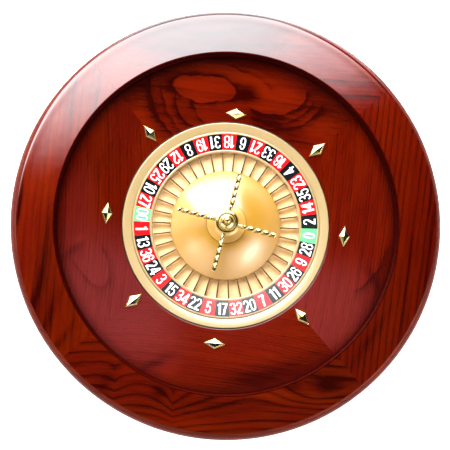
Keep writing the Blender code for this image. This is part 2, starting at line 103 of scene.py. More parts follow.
# ------------------------------------------------------------------ node helper
class Tree:
    """Short calls for building a node tree."""

    def __init__(self, name):
        self.mat = bpy.data.materials.new(name)
        self.mat.use_nodes = True
        self.t = self.mat.node_tree
        self.t.nodes.clear()
        self.out = self.t.nodes.new("ShaderNodeOutputMaterial")
        self.bsdf = self.t.nodes.new("ShaderNodeBsdfPrincipled")
        self.t.links.new(self.bsdf.outputs[0], self.out.inputs[0])
        self._coord = None

    def put(self, socket, value):
        if isinstance(value, bpy.types.NodeSocket):
            self.t.links.new(value, socket)
        else:
            socket.default_value = value

    def set(self, **kw):
        for k, v in kw.items():
            self.put(self.bsdf.inputs[k.replace("_", " ")], v)

    def coord(self):
        """Object coordinates in millimetres."""
        if self._coord is None:
            tc = self.t.nodes.new("ShaderNodeTexCoord")
            self._coord = self.vec("SCALE", tc.outputs["Object"], scale=1000.0)
        return self._coord

    def vec(self, op, a, b=None, scale=None):
        n = self.t.nodes.new("ShaderNodeVectorMath")
        n.operation = op
        self.put(n.inputs[0], a)
        if b is not None:
            self.put(n.inputs[1], b)
        if scale is not None:
            self.put(n.inputs["Scale"], scale)
        return n.outputs["Value"] if op in ("LENGTH", "DOT_PRODUCT", "DISTANCE") else n.outputs[0]

    def m(self, op, a, b=None, c=None, clamp=False):
        n = self.t.nodes.new("ShaderNodeMath")
        n.operation = op
        n.use_clamp = clamp
        self.put(n.inputs[0], a)
        if b is not None:
            self.put(n.inputs[1], b)
        if c is not None:
            self.put(n.inputs[2], c)
        return n.outputs[0]

    def add(self, *xs):
        s = xs[0]
        for x in xs[1:]:
            s = self.m("ADD", s, x)
        return s

    def mul(self, a, b):
        return self.m("MULTIPLY", a, b)

    def split(self, v):
        n = self.t.nodes.new("ShaderNodeSeparateXYZ")
        self.put(n.inputs[0], v)
        return n.outputs[0], n.outputs[1], n.outputs[2]

    def join(self, x, y, z):
        n = self.t.nodes.new("ShaderNodeCombineXYZ")
        for s, v in zip(n.inputs, (x, y, z)):
            self.put(s, v)
        return n.outputs[0]

    def noise(self, v, scale=1.0, detail=3.0, rough=0.5, distort=0.0, out=0):
        n = self.t.nodes.new("ShaderNodeTexNoise")
        self.put(n.inputs["Vector"], v)
        n.inputs["Scale"].default_value = scale
        n.inputs["Detail"].default_value = detail
        n.inputs["Roughness"].default_value = rough
        n.inputs["Distortion"].default_value = distort
        return n.outputs[out]

    def voronoi(self, v, scale, feature="F1"):
        n = self.t.nodes.new("ShaderNodeTexVoronoi")
        n.feature = feature
        self.put(n.inputs["Vector"], v)
        n.inputs["Scale"].default_value = scale
        return n.outputs["Distance"]

    def ramp(self, fac, stops, mode="LINEAR"):
        n = self.t.nodes.new("ShaderNodeValToRGB")
        n.color_ramp.interpolation = mode
        els = n.color_ramp.elements
        while len(els) < len(stops):
            els.new(0.5)
        for e, (p, c) in zip(els, stops):
            e.position = p
            e.color = (c, c, c, 1.0) if isinstance(c, (int, float)) else (*c, 1.0)
        self.put(n.inputs[0], fac)
        return n.outputs[0]

    def smooth(self, x, lo, hi):
        n = self.t.nodes.new("ShaderNodeMapRange")
        n.interpolation_type = "SMOOTHSTEP"
        self.put(n.inputs[0], x)
        n.inputs[1].default_value = lo
        n.inputs[2].default_value = hi
        return n.outputs[0]

    def mix(self, fac, a, b, mode="MIX"):
        n = self.t.nodes.new("ShaderNodeMix")
        n.data_type = "RGBA"
        n.blend_type = mode
        self.put(n.inputs[0], fac)
        self.put(n.inputs[6], (*a, 1.0) if isinstance(a, tuple) and len(a) == 3 else a)
        self.put(n.inputs[7], (*b, 1.0) if isinstance(b, tuple) and len(b) == 3 else b)
        return n.outputs[2]

    def bump(self, height, strength, distance, normal=None):
        n = self.t.nodes.new("ShaderNodeBump")
        n.inputs["Strength"].default_value = strength
        n.inputs["Distance"].default_value = distance
        self.put(n.inputs["Height"], height)
        if normal is not None:
            self.put(n.inputs["Normal"], normal)
        return n.outputs[0]


def srgb(r, g, b):
    return tuple(((c / 255.0) / 12.92 if c / 255.0 <= 0.04045 else ((c / 255.0 + 0.055) / 1.055) ** 2.4) for c in (r, g, b))


# ------------------------------------------------------------------ wood
def wood(name, along, seed, spacing, warp=(12.0, 5.0), line=0.75, fine=0.5, tilt=0.0, curve=0.0, wide=0.20, broad=60.0, light=(0.095, 0.0032, 0.0004),
         orange=(0.125, 0.0062, 0.0003), dark=(0.016, 0.0003, 0.0001), rough=0.06, bumps=(), loops=(), spots=(), sheen=(), wobble=5.0, thin=0.22, cusps=(), corner=0.0, steep=0.0, keep=(0.36, 0.60)):
    """Stained, lacquered mahogany. `along` is the grain's direction, "x" or "y".
    The figure is the height lines of one field: the distance across the board, bent by noise
    and by `bumps` (u, v, height, half-length, half-width), as growth rings are in a sawn board.
    `loops` are single ring lines: centre x, y, half-axes, turn, half-width, depth, and the side they show on and how
    far round.
    `spots` darken (or lighten) and `sheen` mixes the colour towards a tint in soft clouds: centre x, y, half-axes,
    turn, amount, tint. A pale tint is painted sheen, a haze standing in for the bright surroundings reflected in the
    lacquer; a dark tint only darkens the board's tone. All in mm."""
    T = Tree(name)
    x, y, z = T.split(T.coord())
    u, v = (x, y) if along == "x" else (y, x)
    if tilt:
        c, s = math.cos(math.radians(tilt)), math.sin(math.radians(tilt))
        u, v = T.add(T.mul(u, c), T.mul(v, s)), T.add(T.mul(v, c), T.mul(u, -s))
    P = T.join(T.add(u, seed * 371.0), T.add(v, seed * 113.0), z)

    def hump(cx, cy, rx, ry, turn, px=None, py=None):
        c, s = math.cos(math.radians(turn)), math.sin(math.radians(turn))
        dx, dy = T.add(x if px is None else px, -cx), T.add(y if py is None else py, -cy)
        a = T.mul(T.add(T.mul(dx, c), T.mul(dy, s)), 1.0 / rx)
        b = T.mul(T.add(T.mul(dy, c), T.mul(dx, -s)), 1.0 / ry)
        return a, b

    def gauss(a, b):
        return T.m("EXPONENT", T.mul(T.add(T.mul(a, a), T.mul(b, b)), -1.0))

    # the ring field
    slow = T.noise(T.vec("MULTIPLY", P, (1 / 170.0, 1 / 62.0, 1 / 60.0)), 1.0, 2.0, 0.45)
    mid = T.noise(T.vec("MULTIPLY", P, (1 / 60.0, 1 / 17.0, 1 / 20.0)), 1.0, 3.0, 0.5)
    F = T.add(v, T.mul(z, 0.8), T.mul(T.add(slow, -0.5), warp[0]), T.mul(T.add(mid, -0.5), warp[1]))
    if curve:
        F = T.add(F, T.mul(T.mul(u, u), curve))
    for cx, cy, rx, ry, turn, h in bumps:
        a, b = hump(cx, cy, rx, ry, turn)
        F = T.add(F, T.mul(gauss(a, b), h))
    for u0, v0, drop, left, right, across in cusps:
        du = T.add(u, -u0)
        near = T.m("MAXIMUM", T.mul(du, 1.0 / right), T.mul(du, -1.0 / left))
        dv = T.mul(T.add(v, -v0), 1.0 / across)
        F = T.add(F, T.mul(T.m("EXPONENT", T.mul(T.add(near, T.mul(dv, dv)), -1.0)), drop))
    if steep:
        F = T.add(F, T.mul(T.m("ABSOLUTE", T.add(u, 6.0)), steep))
    ring = T.m("FRACT", T.mul(F, 1.0 / spacing))
    late = T.ramp(ring, [(0.0, 0.55), (wide * 0.4, 0.12), (wide, 0.0), (0.55, 0.05), (0.84, 0.72), (0.95, 1.0), (1.0, 0.62)])
    index = T.m("FLOOR", T.mul(F, 1.0 / spacing))
    which = T.noise(T.join(T.mul(index, 3.7), T.add(T.mul(u, 1 / 260.0), seed * 1.3), 0.0), 1.0, 1.0, 0.4)
    late = T.mul(late, T.smooth(which, *keep))
    late2 = T.ramp(T.m("FRACT", T.mul(F, 3.0 / spacing)), [(0.0, 0.4), (0.25, 0.0), (0.6, 0.15), (0.93, 1.0), (1.0, 0.5)])
    # fibres and pores
    fib = T.noise(T.vec("MULTIPLY", P, (1 / 60.0, 1 / 2.2, 1 / 2.5)), 1.0, 3.0, 0.62)
    fibf = T.noise(T.vec("MULTIPLY", P, (1 / 18.0, 1 / 0.6, 1 / 0.9)), 1.0, 2.0, 0.6)
    pores = T.smooth(T.noise(T.vec("MULTIPLY", P, (1 / 5.0, 1 / 0.42, 1 / 0.6)), 1.0, 1.0, 0.5), 0.62, 0.74)
    wide_tone = T.noise(T.vec("MULTIPLY", P, (1 / 260.0, 1 / broad, 1 / 60.0)), 1.0, 2.0, 0.5)
    patch = T.noise(T.vec("MULTIPLY", P, (1 / 45.0, 1 / 26.0, 1 / 26.0)), 1.0, 3.0, 0.55)
    col = T.mix(T.smooth(T.add(T.mul(wide_tone, 0.7), T.mul(patch, 0.3)), 0.36, 0.64), light, orange)
    shade = T.add(T.mul(late, line), T.mul(late2, thin), T.mul(T.smooth(fib, 0.38, 0.68), fine * 0.55), T.mul(T.smooth(fibf, 0.42, 0.72), fine * 0.30))
    if loops:
        w1 = T.noise(T.vec("SCALE", P, scale=1 / 24.0), 1.0, 2.0, 0.5)
        w2 = T.noise(T.vec("SCALE", T.vec("ADD", P, (900.0, 500.0, 0.0)), scale=1 / 24.0), 1.0, 2.0, 0.5)
        w3 = T.noise(T.vec("SCALE", T.vec("ADD", P, (300.0, 700.0, 0.0)), scale=1 / 16.0), 1.0, 2.0, 0.5)
        wx, wy = T.add(x, T.mul(T.add(w1, -0.5), wobble * 2.0)), T.add(y, T.mul(T.add(w2, -0.5), wobble * 2.0))
    for cx, cy, rx, ry, turn, half, depth, facing, reach in loops:
        a, b = hump(cx, cy, rx, ry, turn, wx, wy)
        q = T.m("SQRT", T.add(T.mul(a, a), T.mul(b, b)))
        d = T.mul(T.add(q, -1.0), min(rx, ry))
        ln = T.mul(T.smooth(d, -half * 1.0, half * 0.3), T.m("EXPONENT", T.mul(T.m("MAXIMUM", d, 0.0), -1.0 / (half * 2.1))))
        ln = T.mul(ln, T.add(0.75, T.mul(T.smooth(w3, 0.30, 0.70), 0.50)))
        if reach < 180.0:
            f = math.radians(facing)
            side = T.add(T.mul(T.m("DIVIDE", T.mul(a, rx), T.mul(q, max(rx, ry))), math.cos(f)), T.mul(T.m("DIVIDE", T.mul(b, ry), T.mul(q, max(rx, ry))), math.sin(f)))
            lo = math.cos(math.radians(reach))
            ln = T.mul(ln, T.smooth(side, lo * min(rx, ry) / max(rx, ry) - 0.12, lo * min(rx, ry) / max(rx, ry) + 0.12))
        shade = T.add(shade, T.mul(ln, depth))
    for cx, cy, rx, ry, turn, h in spots:
        a, b = hump(cx, cy, rx, ry, turn)
        shade = T.add(shade, T.mul(gauss(a, b), h))
    shade = T.m("MINIMUM", T.m("MAXIMUM", shade, 0.0), 0.95)
    dark_col, pore_col = dark, tuple(0.45 * c for c in dark)
    # painted sheen: each cloud mixes the colour towards its tint; the pale haze tint stands in for reflected light
    for cx, cy, rx, ry, turn, h, tint in sheen:
        a, b = hump(cx, cy, rx, ry, turn)
        f = T.mul(T.smooth(gauss(a, b), 0.05, 0.85), h)
        col = T.mix(f, col, tint)
        dark_col = T.mix(f, dark_col, tuple(0.42 * c for c in tint))
        pore_col = T.mix(f, pore_col, tuple(0.30 * c for c in tint))
    col = T.mix(shade, col, dark_col)
    col = T.mix(T.mul(pores, 0.40), col, pore_col)
    if corner:
        # painted shade: the colour darkens towards where the slope meets the wall, standing in for the rim's shadow and
        # the shade in the corner; on the back board the band reaches further out
        rr = T.m("SQRT", T.add(T.mul(x, x), T.mul(y, y)))
        edge = T.add(T.mul(T.smooth(rr, 168.0 if corner > 0.7 else 184.0, 199.0), corner), T.mul(T.smooth(rr, 194.5, 198.5), 0.5))
        col = T.mix(T.m("MINIMUM", edge, 0.92), col, (0.010, 0.0003, 0.0003))
    height = T.add(T.mul(pores, -0.8), T.mul(fib, 0.5), T.mul(late, -0.25))
    ripple = T.noise(T.vec("SCALE", T.coord(), scale=1 / 40.0), 1.0, 2.0, 0.5)
    T.set(Base_Color=col, Roughness=T.add(T.mul(fib, 0.12), 0.45), Normal=T.bump(height, 0.10, 0.00012))
    col = T.vec("SCALE", col, scale=1.06)
    T.set(Base_Color=col, Roughness=T.add(T.mul(fib, 0.10), 0.24))
    T.set(Metallic=0.38, IOR=1.45, Specular_IOR_Level=0.0, Coat_Weight=1.0, Coat_Roughness=rough, Coat_IOR=1.6)
    T.put(T.bsdf.inputs["Coat Normal"], T.bump(T.add(ripple, T.mul(fib, 0.012)), 0.25, 0.0006))
    return T.mat


# painted reflection: a pale pinkish haze for the bowl's colour, standing in for bright surroundings reflected in the
# lacquer
PAINTED_REFLECTION_HAZE = (0.128, 0.0150, 0.0138)
# painted shade: a much darker, unlacquered copy of the mahogany for the rim's inner wall and the corner below it,
# standing in for the shade where rim and bowl meet
WALL_PAINTED_SHADE = wood("wall_mahogany_painted_shade", "x", 11.0, 9.0, line=0.4, fine=0.4, light=(0.030, 0.0008, 0.0003), orange=(0.036, 0.0012, 0.0003), dark=(0.008, 0.0002, 0.0001), rough=0.5)
WALL_PAINTED_SHADE.node_tree.nodes["Principled BSDF"].inputs["Coat Weight"].default_value = 0.0
# the outer round-over and the underside: a duller lacquer, and a tanner colour than the rest of the mahogany that is
# painted reflection of the pale floor
EDGE_PAINTED_REFLECTION = wood("edge_mahogany_painted_reflection", "x", 12.0, 9.0, line=0.4, fine=0.4, light=(0.090, 0.0075, 0.0016), orange=(0.115, 0.0120, 0.0028), dark=(0.020, 0.0006, 0.0002), rough=0.5)
EDGE_PAINTED_REFLECTION.node_tree.nodes["Principled BSDF"].inputs["Coat Weight"].default_value = 0.16
EDGE_PAINTED_REFLECTION.node_tree.nodes["Principled BSDF"].inputs["Coat Roughness"].default_value = 0.45
RIM_MATS = {
    "back": wood("rim_mahogany_back", "x", 1.0, 17.0, (16.0, 5.0), line=0.60, fine=0.45, broad=50.0, bumps=((-60, 222, 50, 16, 0, 16),), sheen=((-42, 228, 118, 74, 8, 0.88, (0.016, 0.0020, 0.0010)),)),
    "left": wood("rim_mahogany_left", "y", 2.0, 26.0, (12.0, 4.0), line=0.34, fine=0.42, broad=24.0, thin=0.20, light=(0.100, 0.0040, 0.0004), orange=(0.128, 0.0082, 0.0003),
                 sheen=((-180, 170, 76, 60, 50, 0.50, (0.030, 0.0020, 0.0010)),), spots=((-205, -66, 84, 7.5, 88, 0.55), (-199, -150, 60, 6, 74, 0.50), (-240, -8, 24, 2.6, 86, 0.75), (-212, -120, 50, 4, 82, 0.50), (-180, -160, 30, 5, 60, 0.45))),
    "front": wood("rim_mahogany_front", "x", 3.4, 12.0, (13.0, 7.5), line=0.66, fine=0.46, broad=30.0, tilt=4.0, wide=0.60, curve=0.0005, thin=0.06, keep=(0.10, 0.42), light=(0.100, 0.0040, 0.0004), orange=(0.130, 0.0082, 0.0003),
                  cusps=((-57, -205, 30.0, 20.0, 50.0, 34.0), (-124, -188, 13.0, 16.0, 22.0, 26.0)),
                  bumps=((128, -186, 38, 15, 8, 18), (40, -196, 34, 14, 6, -8)),
                  spots=((-58, -200, 9, 9, 0, 0.55), (-120, -195, 26, 8, 60, 0.35), (95, -178, 14, 8, 0, 0.40), (140, -172, 34, 22, -40, 0.35), (-10, -212, 50, 8, 6, 0.30), (-96, -176, 20, 9, 20, -0.30), (-35, -232, 50, 8, 4, -0.25), (60, -190, 30, 7, 10, -0.30))),
    "right": wood("rim_mahogany_right", "y", 4.2, 7.0, (6.0, 2.6), line=0.50, fine=0.44, broad=50.0, wide=0.50, tilt=2.0, curve=0.0001, thin=0.12, keep=(0.15, 0.50), light=(0.088, 0.0028, 0.0004), orange=(0.108, 0.0052, 0.0003),
                  spots=((236, 0, 140, 7, 90, 0.30), (214, -60, 60, 3, 88, 0.40), (176, -120, 40, 6, 60, 0.35))),
}
BOWL_MATS = {
    "back": wood("bowl_mahogany_back", "x", 5.1, 24.0, (22.0, 7.0), line=0.36, fine=0.44, broad=80.0, orange=(0.165, 0.0090, 0.0003), light=(0.118, 0.0042, 0.0003), wobble=5.5, thin=0.12, corner=0.75,
                 loops=((-40, 157, 40, 16.5, -1, 1.7, 0.85, 270, 180), (-40, 158, 64, 66, 0, 2.4, 0.66, 205, 38), (-40, 158, 50, 60, 0, 2.2, 0.56, 218, 32), (-38, 156, 37, 48, 0, 2.4, 0.66, 230, 32), (-30, 150, 24, 34, 0, 2.0, 0.50, 240, 34),
                        (38, 164, 42, 30, -8, 2.0, 0.78, 300, 62), (38, 162, 52, 36, -6, 1.8, 0.50, 296, 50), (38, 162, 62, 44, -6, 2.0, 0.58, 296, 44), (-8, 166, 52, 19, -14, 2.0, 0.66, 82, 44),
                        (-4, 170, 62, 21, -10, 1.8, 0.45, 88, 40)),
                 spots=((13, 157, 13, 10, 0, 0.80), (26, 128, 34, 8, 4, 0.40), (-96, 128, 9, 30, 25, 0.40), (60, 116, 30, 10, -20, 0.45), (38, 166, 28, 17, -8, -0.40), (-42, 158, 28, 10, 0, -0.45), (-62, 120, 12, 26, 20, 0.25), (110, 140, 34, 16, -40, 0.35), (-120, 140, 30, 20, 40, 0.30))),
    "left": wood("bowl_mahogany_left", "y", 6.3, 11.0, (4.0, 2.4), line=0.20, fine=0.46, broad=34.0, tilt=-3.0, thin=0.24, corner=0.62, light=(0.086, 0.0030, 0.0004), orange=(0.112, 0.0056, 0.0003),
                 loops=((-166, -36, 20, 60, 34, 1.5, 0.50, 270, 40),), spots=((-150, 60, 40, 26, 80, 0.22), (-174, -46, 22, 5, 52, 0.45), (-168, -34, 9, 5, 40, -0.5)),
                 sheen=((-120, -100, 88, 62, -45, 0.85, PAINTED_REFLECTION_HAZE), (-172, 10, 50, 20, 90, 0.15, PAINTED_REFLECTION_HAZE))),
    # the front board's first spot, a long dark band near the rim, is painted shade
    "front": wood("bowl_mahogany_front", "x", 7.7, 9.0, (4.0, 2.4), line=0.20, fine=0.46, broad=30.0, tilt=-2.0, thin=0.24, corner=0.50, light=(0.082, 0.0030, 0.0004), orange=(0.108, 0.0056, 0.0003),
                  spots=((60, -172, 78, 15, 22, 0.62), (-70, -170, 24, 5, 32, 0.45), (-48, -172, 10, 6, 20, -0.5), (40, -150, 50, 12, 0, -0.15)),
                  sheen=((-120, -100, 88, 62, -45, 0.85, PAINTED_REFLECTION_HAZE),)),
    "right": wood("bowl_mahogany_right", "y", 8.9, 12.0, (4.0, 2.4), line=0.20, fine=0.46, broad=34.0, tilt=3.0, thin=0.24, corner=0.62, light=(0.089, 0.0030, 0.0004), orange=(0.117, 0.0056, 0.0003),
                  loops=((168, -34, 12, 34, -32, 1.5, 0.60, 0, 60),), spots=((184, -60, 60, 9, 78, 0.30), (176, -46, 20, 5, -60, 0.4)),
                  sheen=((124, -88, 62, 52, 40, 0.60, PAINTED_REFLECTION_HAZE),)),
}


# ------------------------------------------------------------------ metals, enamel, rubber, plywood
def gold(name, base, rough, turned=0.35, blotch=0.05, metal=0.5, coat=0.6, coat_rough=0.28, ior=1.5, step_shade=None, rise=None):
    """Satin, turned gold metal under a satin lacquer: fine rings from the lathe, and faint cloudiness."""
    T = Tree(name)
    P = T.coord()
    x, y, z = T.split(P)
    r = T.m("SQRT", T.add(T.mul(x, x), T.mul(y, y)))
    groove = T.noise(T.join(T.mul(r, 5.0), T.mul(z, 5.0), 0.3), 1.0, 2.0, 0.6)
    cloud = T.noise(T.vec("SCALE", P, scale=1 / 22.0), 1.0, 3.0, 0.55)
    speck = T.noise(T.vec("SCALE", P, scale=2.2), 1.0, 2.0, 0.6)
    c = T.mix(T.smooth(cloud, 0.3, 0.7), tuple(k * (1.0 - blotch) for k in base), base)
    # painted shade: a thin dark brown ring mixed into the colour where the flange's edge steps onto the dome, standing
    # in for the shade of that step
    if step_shade:
        off = T.m("ABSOLUTE", T.add(r, -step_shade[0]))
        c = T.mix(T.mul(T.add(1.0, T.mul(T.smooth(off, step_shade[1] * 0.5, step_shade[1]), -1.0)), 0.85), c, (0.06, 0.025, 0.004))
    # painted light: the colour turns a paler cream up the fret walls, lifting them against the shade between the frets
    if rise:
        c = T.mix(T.smooth(z, rise[0], rise[1]), c, rise[2])
    T.set(Base_Color=c, Metallic=metal, Roughness=T.add(T.mul(cloud, 0.05), T.mul(groove, 0.05), rough - 0.05), Normal=T.bump(T.add(groove, T.mul(speck, 0.35)), turned, 0.00002))
    T.set(Coat_Weight=coat, Coat_Roughness=coat_rough, Coat_IOR=ior, Specular_IOR_Level=0.2)
    return T.mat


def brass(name, base, rough, soft=0.25, metal=1.0):
    """Polished brass with faint handling marks."""
    T = Tree(name)
    P = T.coord()
    cloud = T.noise(T.vec("SCALE", P, scale=1 / 7.0), 1.0, 3.0, 0.6)
    scratch = T.noise(T.vec("MULTIPLY", P, (0.5, 6.0, 6.0)), 1.0, 2.0, 0.6)
    wave = T.noise(T.vec("SCALE", P, scale=1 / 5.0), 1.0, 1.0, 0.5)
    c = T.mix(T.smooth(cloud, 0.35, 0.75), base, tuple(k * s for k, s in zip(base, (0.90, 0.86, 0.74))))
    T.set(Base_Color=c, Metallic=metal, Roughness=T.add(T.mul(cloud, 0.06), T.mul(scratch, 0.04), rough - 0.04), Normal=T.bump(T.add(T.mul(wave, 0.6), T.mul(scratch, 0.05)), soft, 0.00008))
    return T.mat


def enamel(name, base, rough=0.16, vary=0.12):
    T = Tree(name)
    P = T.coord()
    cloud = T.noise(T.vec("SCALE", P, scale=1 / 9.0), 1.0, 3.0, 0.6)
    grain = T.noise(T.vec("SCALE", P, scale=2.5), 1.0, 2.0, 0.5)
    c = T.mix(T.smooth(cloud, 0.3, 0.7), tuple(k * (1.0 - vary) for k in base), base)
    T.set(Base_Color=c, Metallic=0.0, Roughness=T.add(T.mul(grain, 0.10), rough), Normal=T.bump(grain, 0.12, 0.00003), IOR=1.5, Coat_Weight=0.4, Coat_Roughness=0.10, Coat_IOR=1.5)
    return T.mat


def steel(name, base, rough, streak=(4.0, 4.0, 4.0), metal=1.0):
    T = Tree(name)
    P = T.coord()
    s = T.noise(T.vec("MULTIPLY", P, streak), 1.0, 3.0, 0.6)
    cloud = T.noise(T.vec("SCALE", P, scale=1 / 11.0), 1.0, 2.0, 0.5)
    c = T.mix(T.smooth(cloud, 0.3, 0.7), tuple(k * 0.86 for k in base), base)
    T.set(Base_Color=c, Metallic=metal, Roughness=T.add(T.mul(s, 0.12), rough - 0.05), Normal=T.bump(s, 0.2, 0.00004))
    return T.mat


def cast(name):
    """Sand-cast alloy."""
    T = Tree(name)
    P = T.coord()
    g = T.noise(T.vec("SCALE", P, scale=1.4), 1.0, 4.0, 0.65)
    pits = T.voronoi(P, 0.9)
    c = T.mix(T.smooth(g, 0.35, 0.7), (0.42, 0.42, 0.43), (0.60, 0.60, 0.61))
    T.set(Base_Color=c, Metallic=0.9, Roughness=T.add(T.mul(g, 0.2), 0.38), Normal=T.bump(T.add(g, T.mul(pits, 0.4)), 0.5, 0.00015))
    return T.mat


def rubber(name):
    T = Tree(name)
    P = T.coord()
    g = T.noise(T.vec("SCALE", P, scale=3.0), 1.0, 4.0, 0.6)
    dust = T.noise(T.vec("SCALE", P, scale=1 / 4.0), 1.0, 3.0, 0.6)
    c = T.mix(T.smooth(dust, 0.5, 0.8), (0.014, 0.014, 0.015), (0.045, 0.043, 0.041))
    T.set(Base_Color=c, Metallic=0.0, Roughness=T.add(T.mul(g, 0.15), 0.68), Normal=T.bump(g, 0.35, 0.0001), Specular_IOR_Level=0.4)
    return T.mat


def plywood(name):
    """Birch ply: face grain on the flats, alternating plies on the edge."""
    T = Tree(name)
    P = T.coord()
    x, y, z = T.split(P)
    F = T.add(T.mul(y, 1.0), T.mul(T.add(T.noise(T.vec("MULTIPLY", P, (1 / 140.0, 1 / 40.0, 1 / 50.0)), 1.0, 3.0, 0.5), -0.5), 60.0))
    ring = T.ramp(T.m("FRACT", T.mul(F, 1 / 19.0)), [(0.0, 0.3), (0.2, 0.0), (0.85, 0.7), (1.0, 0.5)])
    fib = T.noise(T.vec("MULTIPLY", P, (1 / 30.0, 1 / 0.8, 1 / 0.8)), 1.0, 3.0, 0.6)
    face = T.mix(T.add(T.mul(ring, 0.5), T.mul(fib, 0.4)), (0.42, 0.27, 0.145), (0.27, 0.15, 0.07))
    ply = T.smooth(T.m("FRACT", T.mul(T.add(z, -5.3), 1 / 2.28)), 0.46, 0.54)
    edge = T.mix(ply, (0.40, 0.26, 0.14), (0.20, 0.11, 0.05))
    g = T.t.nodes.new("ShaderNodeNewGeometry")
    nx, ny, nz = T.split(g.outputs["Normal"])
    side = T.smooth(T.m("ABSOLUTE", nz), 0.5, 0.7)
    c = T.mix(side, edge, face)
    T.set(Base_Color=c, Metallic=0.0, Roughness=T.add(T.mul(fib, 0.2), 0.48), Normal=T.bump(fib, 0.25, 0.00015), Specular_IOR_Level=0.35)
    return T.mat


GOLD = gold("satin_gold_turned", (0.37, 0.250, 0.110), 0.30, metal=0.20, coat=1.0, coat_rough=0.17, ior=2.2)
# the dome and the flange both carry the painted shade ring at the flange's edge
GOLD_DOME = gold("satin_gold_dome", (0.412, 0.197, 0.016), 0.33, turned=0.10, metal=0.20, coat=1.0, coat_rough=0.24, ior=1.80, step_shade=(22.95, 0.42))
# its fret walls are painted paler, lifting the shade between the frets
GOLD_FLOOR = gold("satin_gold_cast", (0.82, 0.59, 0.325), 0.45, turned=0.10, blotch=0.05, metal=0.05, coat=0.3, coat_rough=0.35, ior=1.5, rise=(30.3, 31.2, (0.95, 0.79, 0.53)))
GOLD_FLANGE = gold("satin_gold_flange", (0.60, 0.325, 0.075), 0.30, turned=0.08, metal=0.35, coat=0.6, coat_rough=0.22, ior=1.6, step_shade=(22.95, 0.42))
BRASS = brass("polished_brass_turret", (0.50, 0.37, 0.13), 0.07, soft=0.04)
BRASS_ARM = brass("polished_brass_arms", (0.50, 0.40, 0.17), 0.12, soft=0.04, metal=0.95)
BRASS_DEF = brass("polished_brass_deflectors", (0.93, 0.82, 0.36), 0.07)
# painted shade: the fret tops get a dark brown colour that stands in for the dark line of shade along each gold fret
FRET_TOP_PAINTED_SHADE = gold("fret_tops_painted_shade", (0.085, 0.034, 0.003), 0.50, turned=0.0, metal=0.0, coat=0.0, coat_rough=0.3)
RED = enamel("enamel_red", (0.62, 0.004, 0.006))
BLACK = enamel("enamel_black", (0.004, 0.004, 0.005))
GREEN = enamel("enamel_green", (0.10, 0.62, 0.16))
WHITE = enamel("enamel_white", (0.86, 0.86, 0.86), vary=0.04)
STEEL = steel("bright_steel", (0.60, 0.60, 0.61), 0.28)
BEARING = steel("bearing_steel", (0.66, 0.67, 0.69), 0.16, streak=(1.0, 1.0, 9.0))
ALLOY = cast("cast_alloy")
RUBBER = rubber("black_rubber")
PLY = plywood("base_birch_ply")


# ------------------------------------------------------------------ mesh helpers
def mesh_object(name, verts, faces, mats, body, index=None, sharp=35.0, replaces=()):
    me = bpy.data.meshes.new(name)
    me.from_pydata([tuple(v) for v in verts], [], [tuple(f) for f in faces])
    for m in mats if isinstance(mats, (list, tuple)) else [mats]:
        me.materials.append(m)
    if index is not None:
        me.polygons.foreach_set("material_index", index)
    bm = bmesh.new()
    bm.from_mesh(me)
    bmesh.ops.recalc_face_normals(bm, faces=bm.faces)
    bm.to_mesh(me)
    bm.free()
    me.shade_smooth()
    me.set_sharp_from_angle(angle=math.radians(sharp))
    ob = bpy.data.objects.new(name, me)
    scene.collection.objects.link(ob)
    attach(ob, body)
    if replaces:
        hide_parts(*replaces)
    return ob


def rounded(points, steps=5):
    """A closed outline of (r, z, corner radius) with its corners turned into arcs."""
    out = []
    n = len(points)
    for i in range(n):
        r, z, rad = points[i]
        p = np.array((r, z), float)
        if rad <= 0.0:
            out.append((r, z))
            continue
        a = np.array(points[i - 1][:2], float) - p
        b = np.array(points[(i + 1) % n][:2], float) - p
        la, lb = np.linalg.norm(a), np.linalg.norm(b)
        a, b = a / la, b / lb
        half = math.acos(max(-1.0, min(1.0, float(a @ b)))) / 2.0
        if half > math.radians(89.0):
            out.append((r, z))
            continue
        t = min(rad / math.tan(half), 0.48 * la, 0.48 * lb)
        rr = t * math.tan(half)
        c = p + (a + b) / np.linalg.norm(a + b) * (rr / math.sin(half))
        p0, p1 = p + a * t - c, p + b * t - c
        w0 = math.atan2(p0[1], p0[0])
        dw = (math.atan2(p1[1], p1[0]) - w0 + math.pi) % TAU - math.pi
        k = max(2, int(math.ceil(abs(dw) / math.radians(90.0 / steps))))
        for j in range(k + 1):
            w = w0 + dw * j / k
            out.append((float(c[0] + rr * math.cos(w)), float(c[1] + rr * math.sin(w))))
    return out


def lathe(name, outline, segs, mats, body, sharp=35.0, replaces=(), pick=None, at=(0.0, 0.0), turn=0.0):
    """A closed outline (r, z) in millimetres turned about the vertical line at `at`.
    An outline whose ends are at r = 0 is closed by a point at each end."""
    solid = abs(outline[0][0]) < 1e-9 and abs(outline[-1][0]) < 1e-9
    body_pts = outline[1:-1] if solid else outline
    n = len(body_pts)
    verts, faces, index = [], [], []
    for i in range(segs):
        a = turn + TAU * i / segs
        c, s = math.cos(a), math.sin(a)
        verts += [(MM * (at[0] + r * c), MM * (at[1] + r * s), MM * z) for r, z in body_pts]
    for i in range(segs):
        k = (i + 1) % segs
        for j in range(n - 1 if solid else n):
            l = (j + 1) % n
            faces.append((i * n + j, k * n + j, k * n + l, i * n + l))
            index.append(pick(i, body_pts[j], body_pts[l]) if pick else 0)
    if solid:
        for point, row in ((outline[0], 0), (outline[-1], n - 1)):
            verts.append((MM * at[0], MM * at[1], MM * point[1]))
            for i in range(segs):
                faces.append((len(verts) - 1, i * n + row, ((i + 1) % segs) * n + row))
                index.append(0)
    return mesh_object(name, verts, faces, mats, body, index, sharp, replaces)


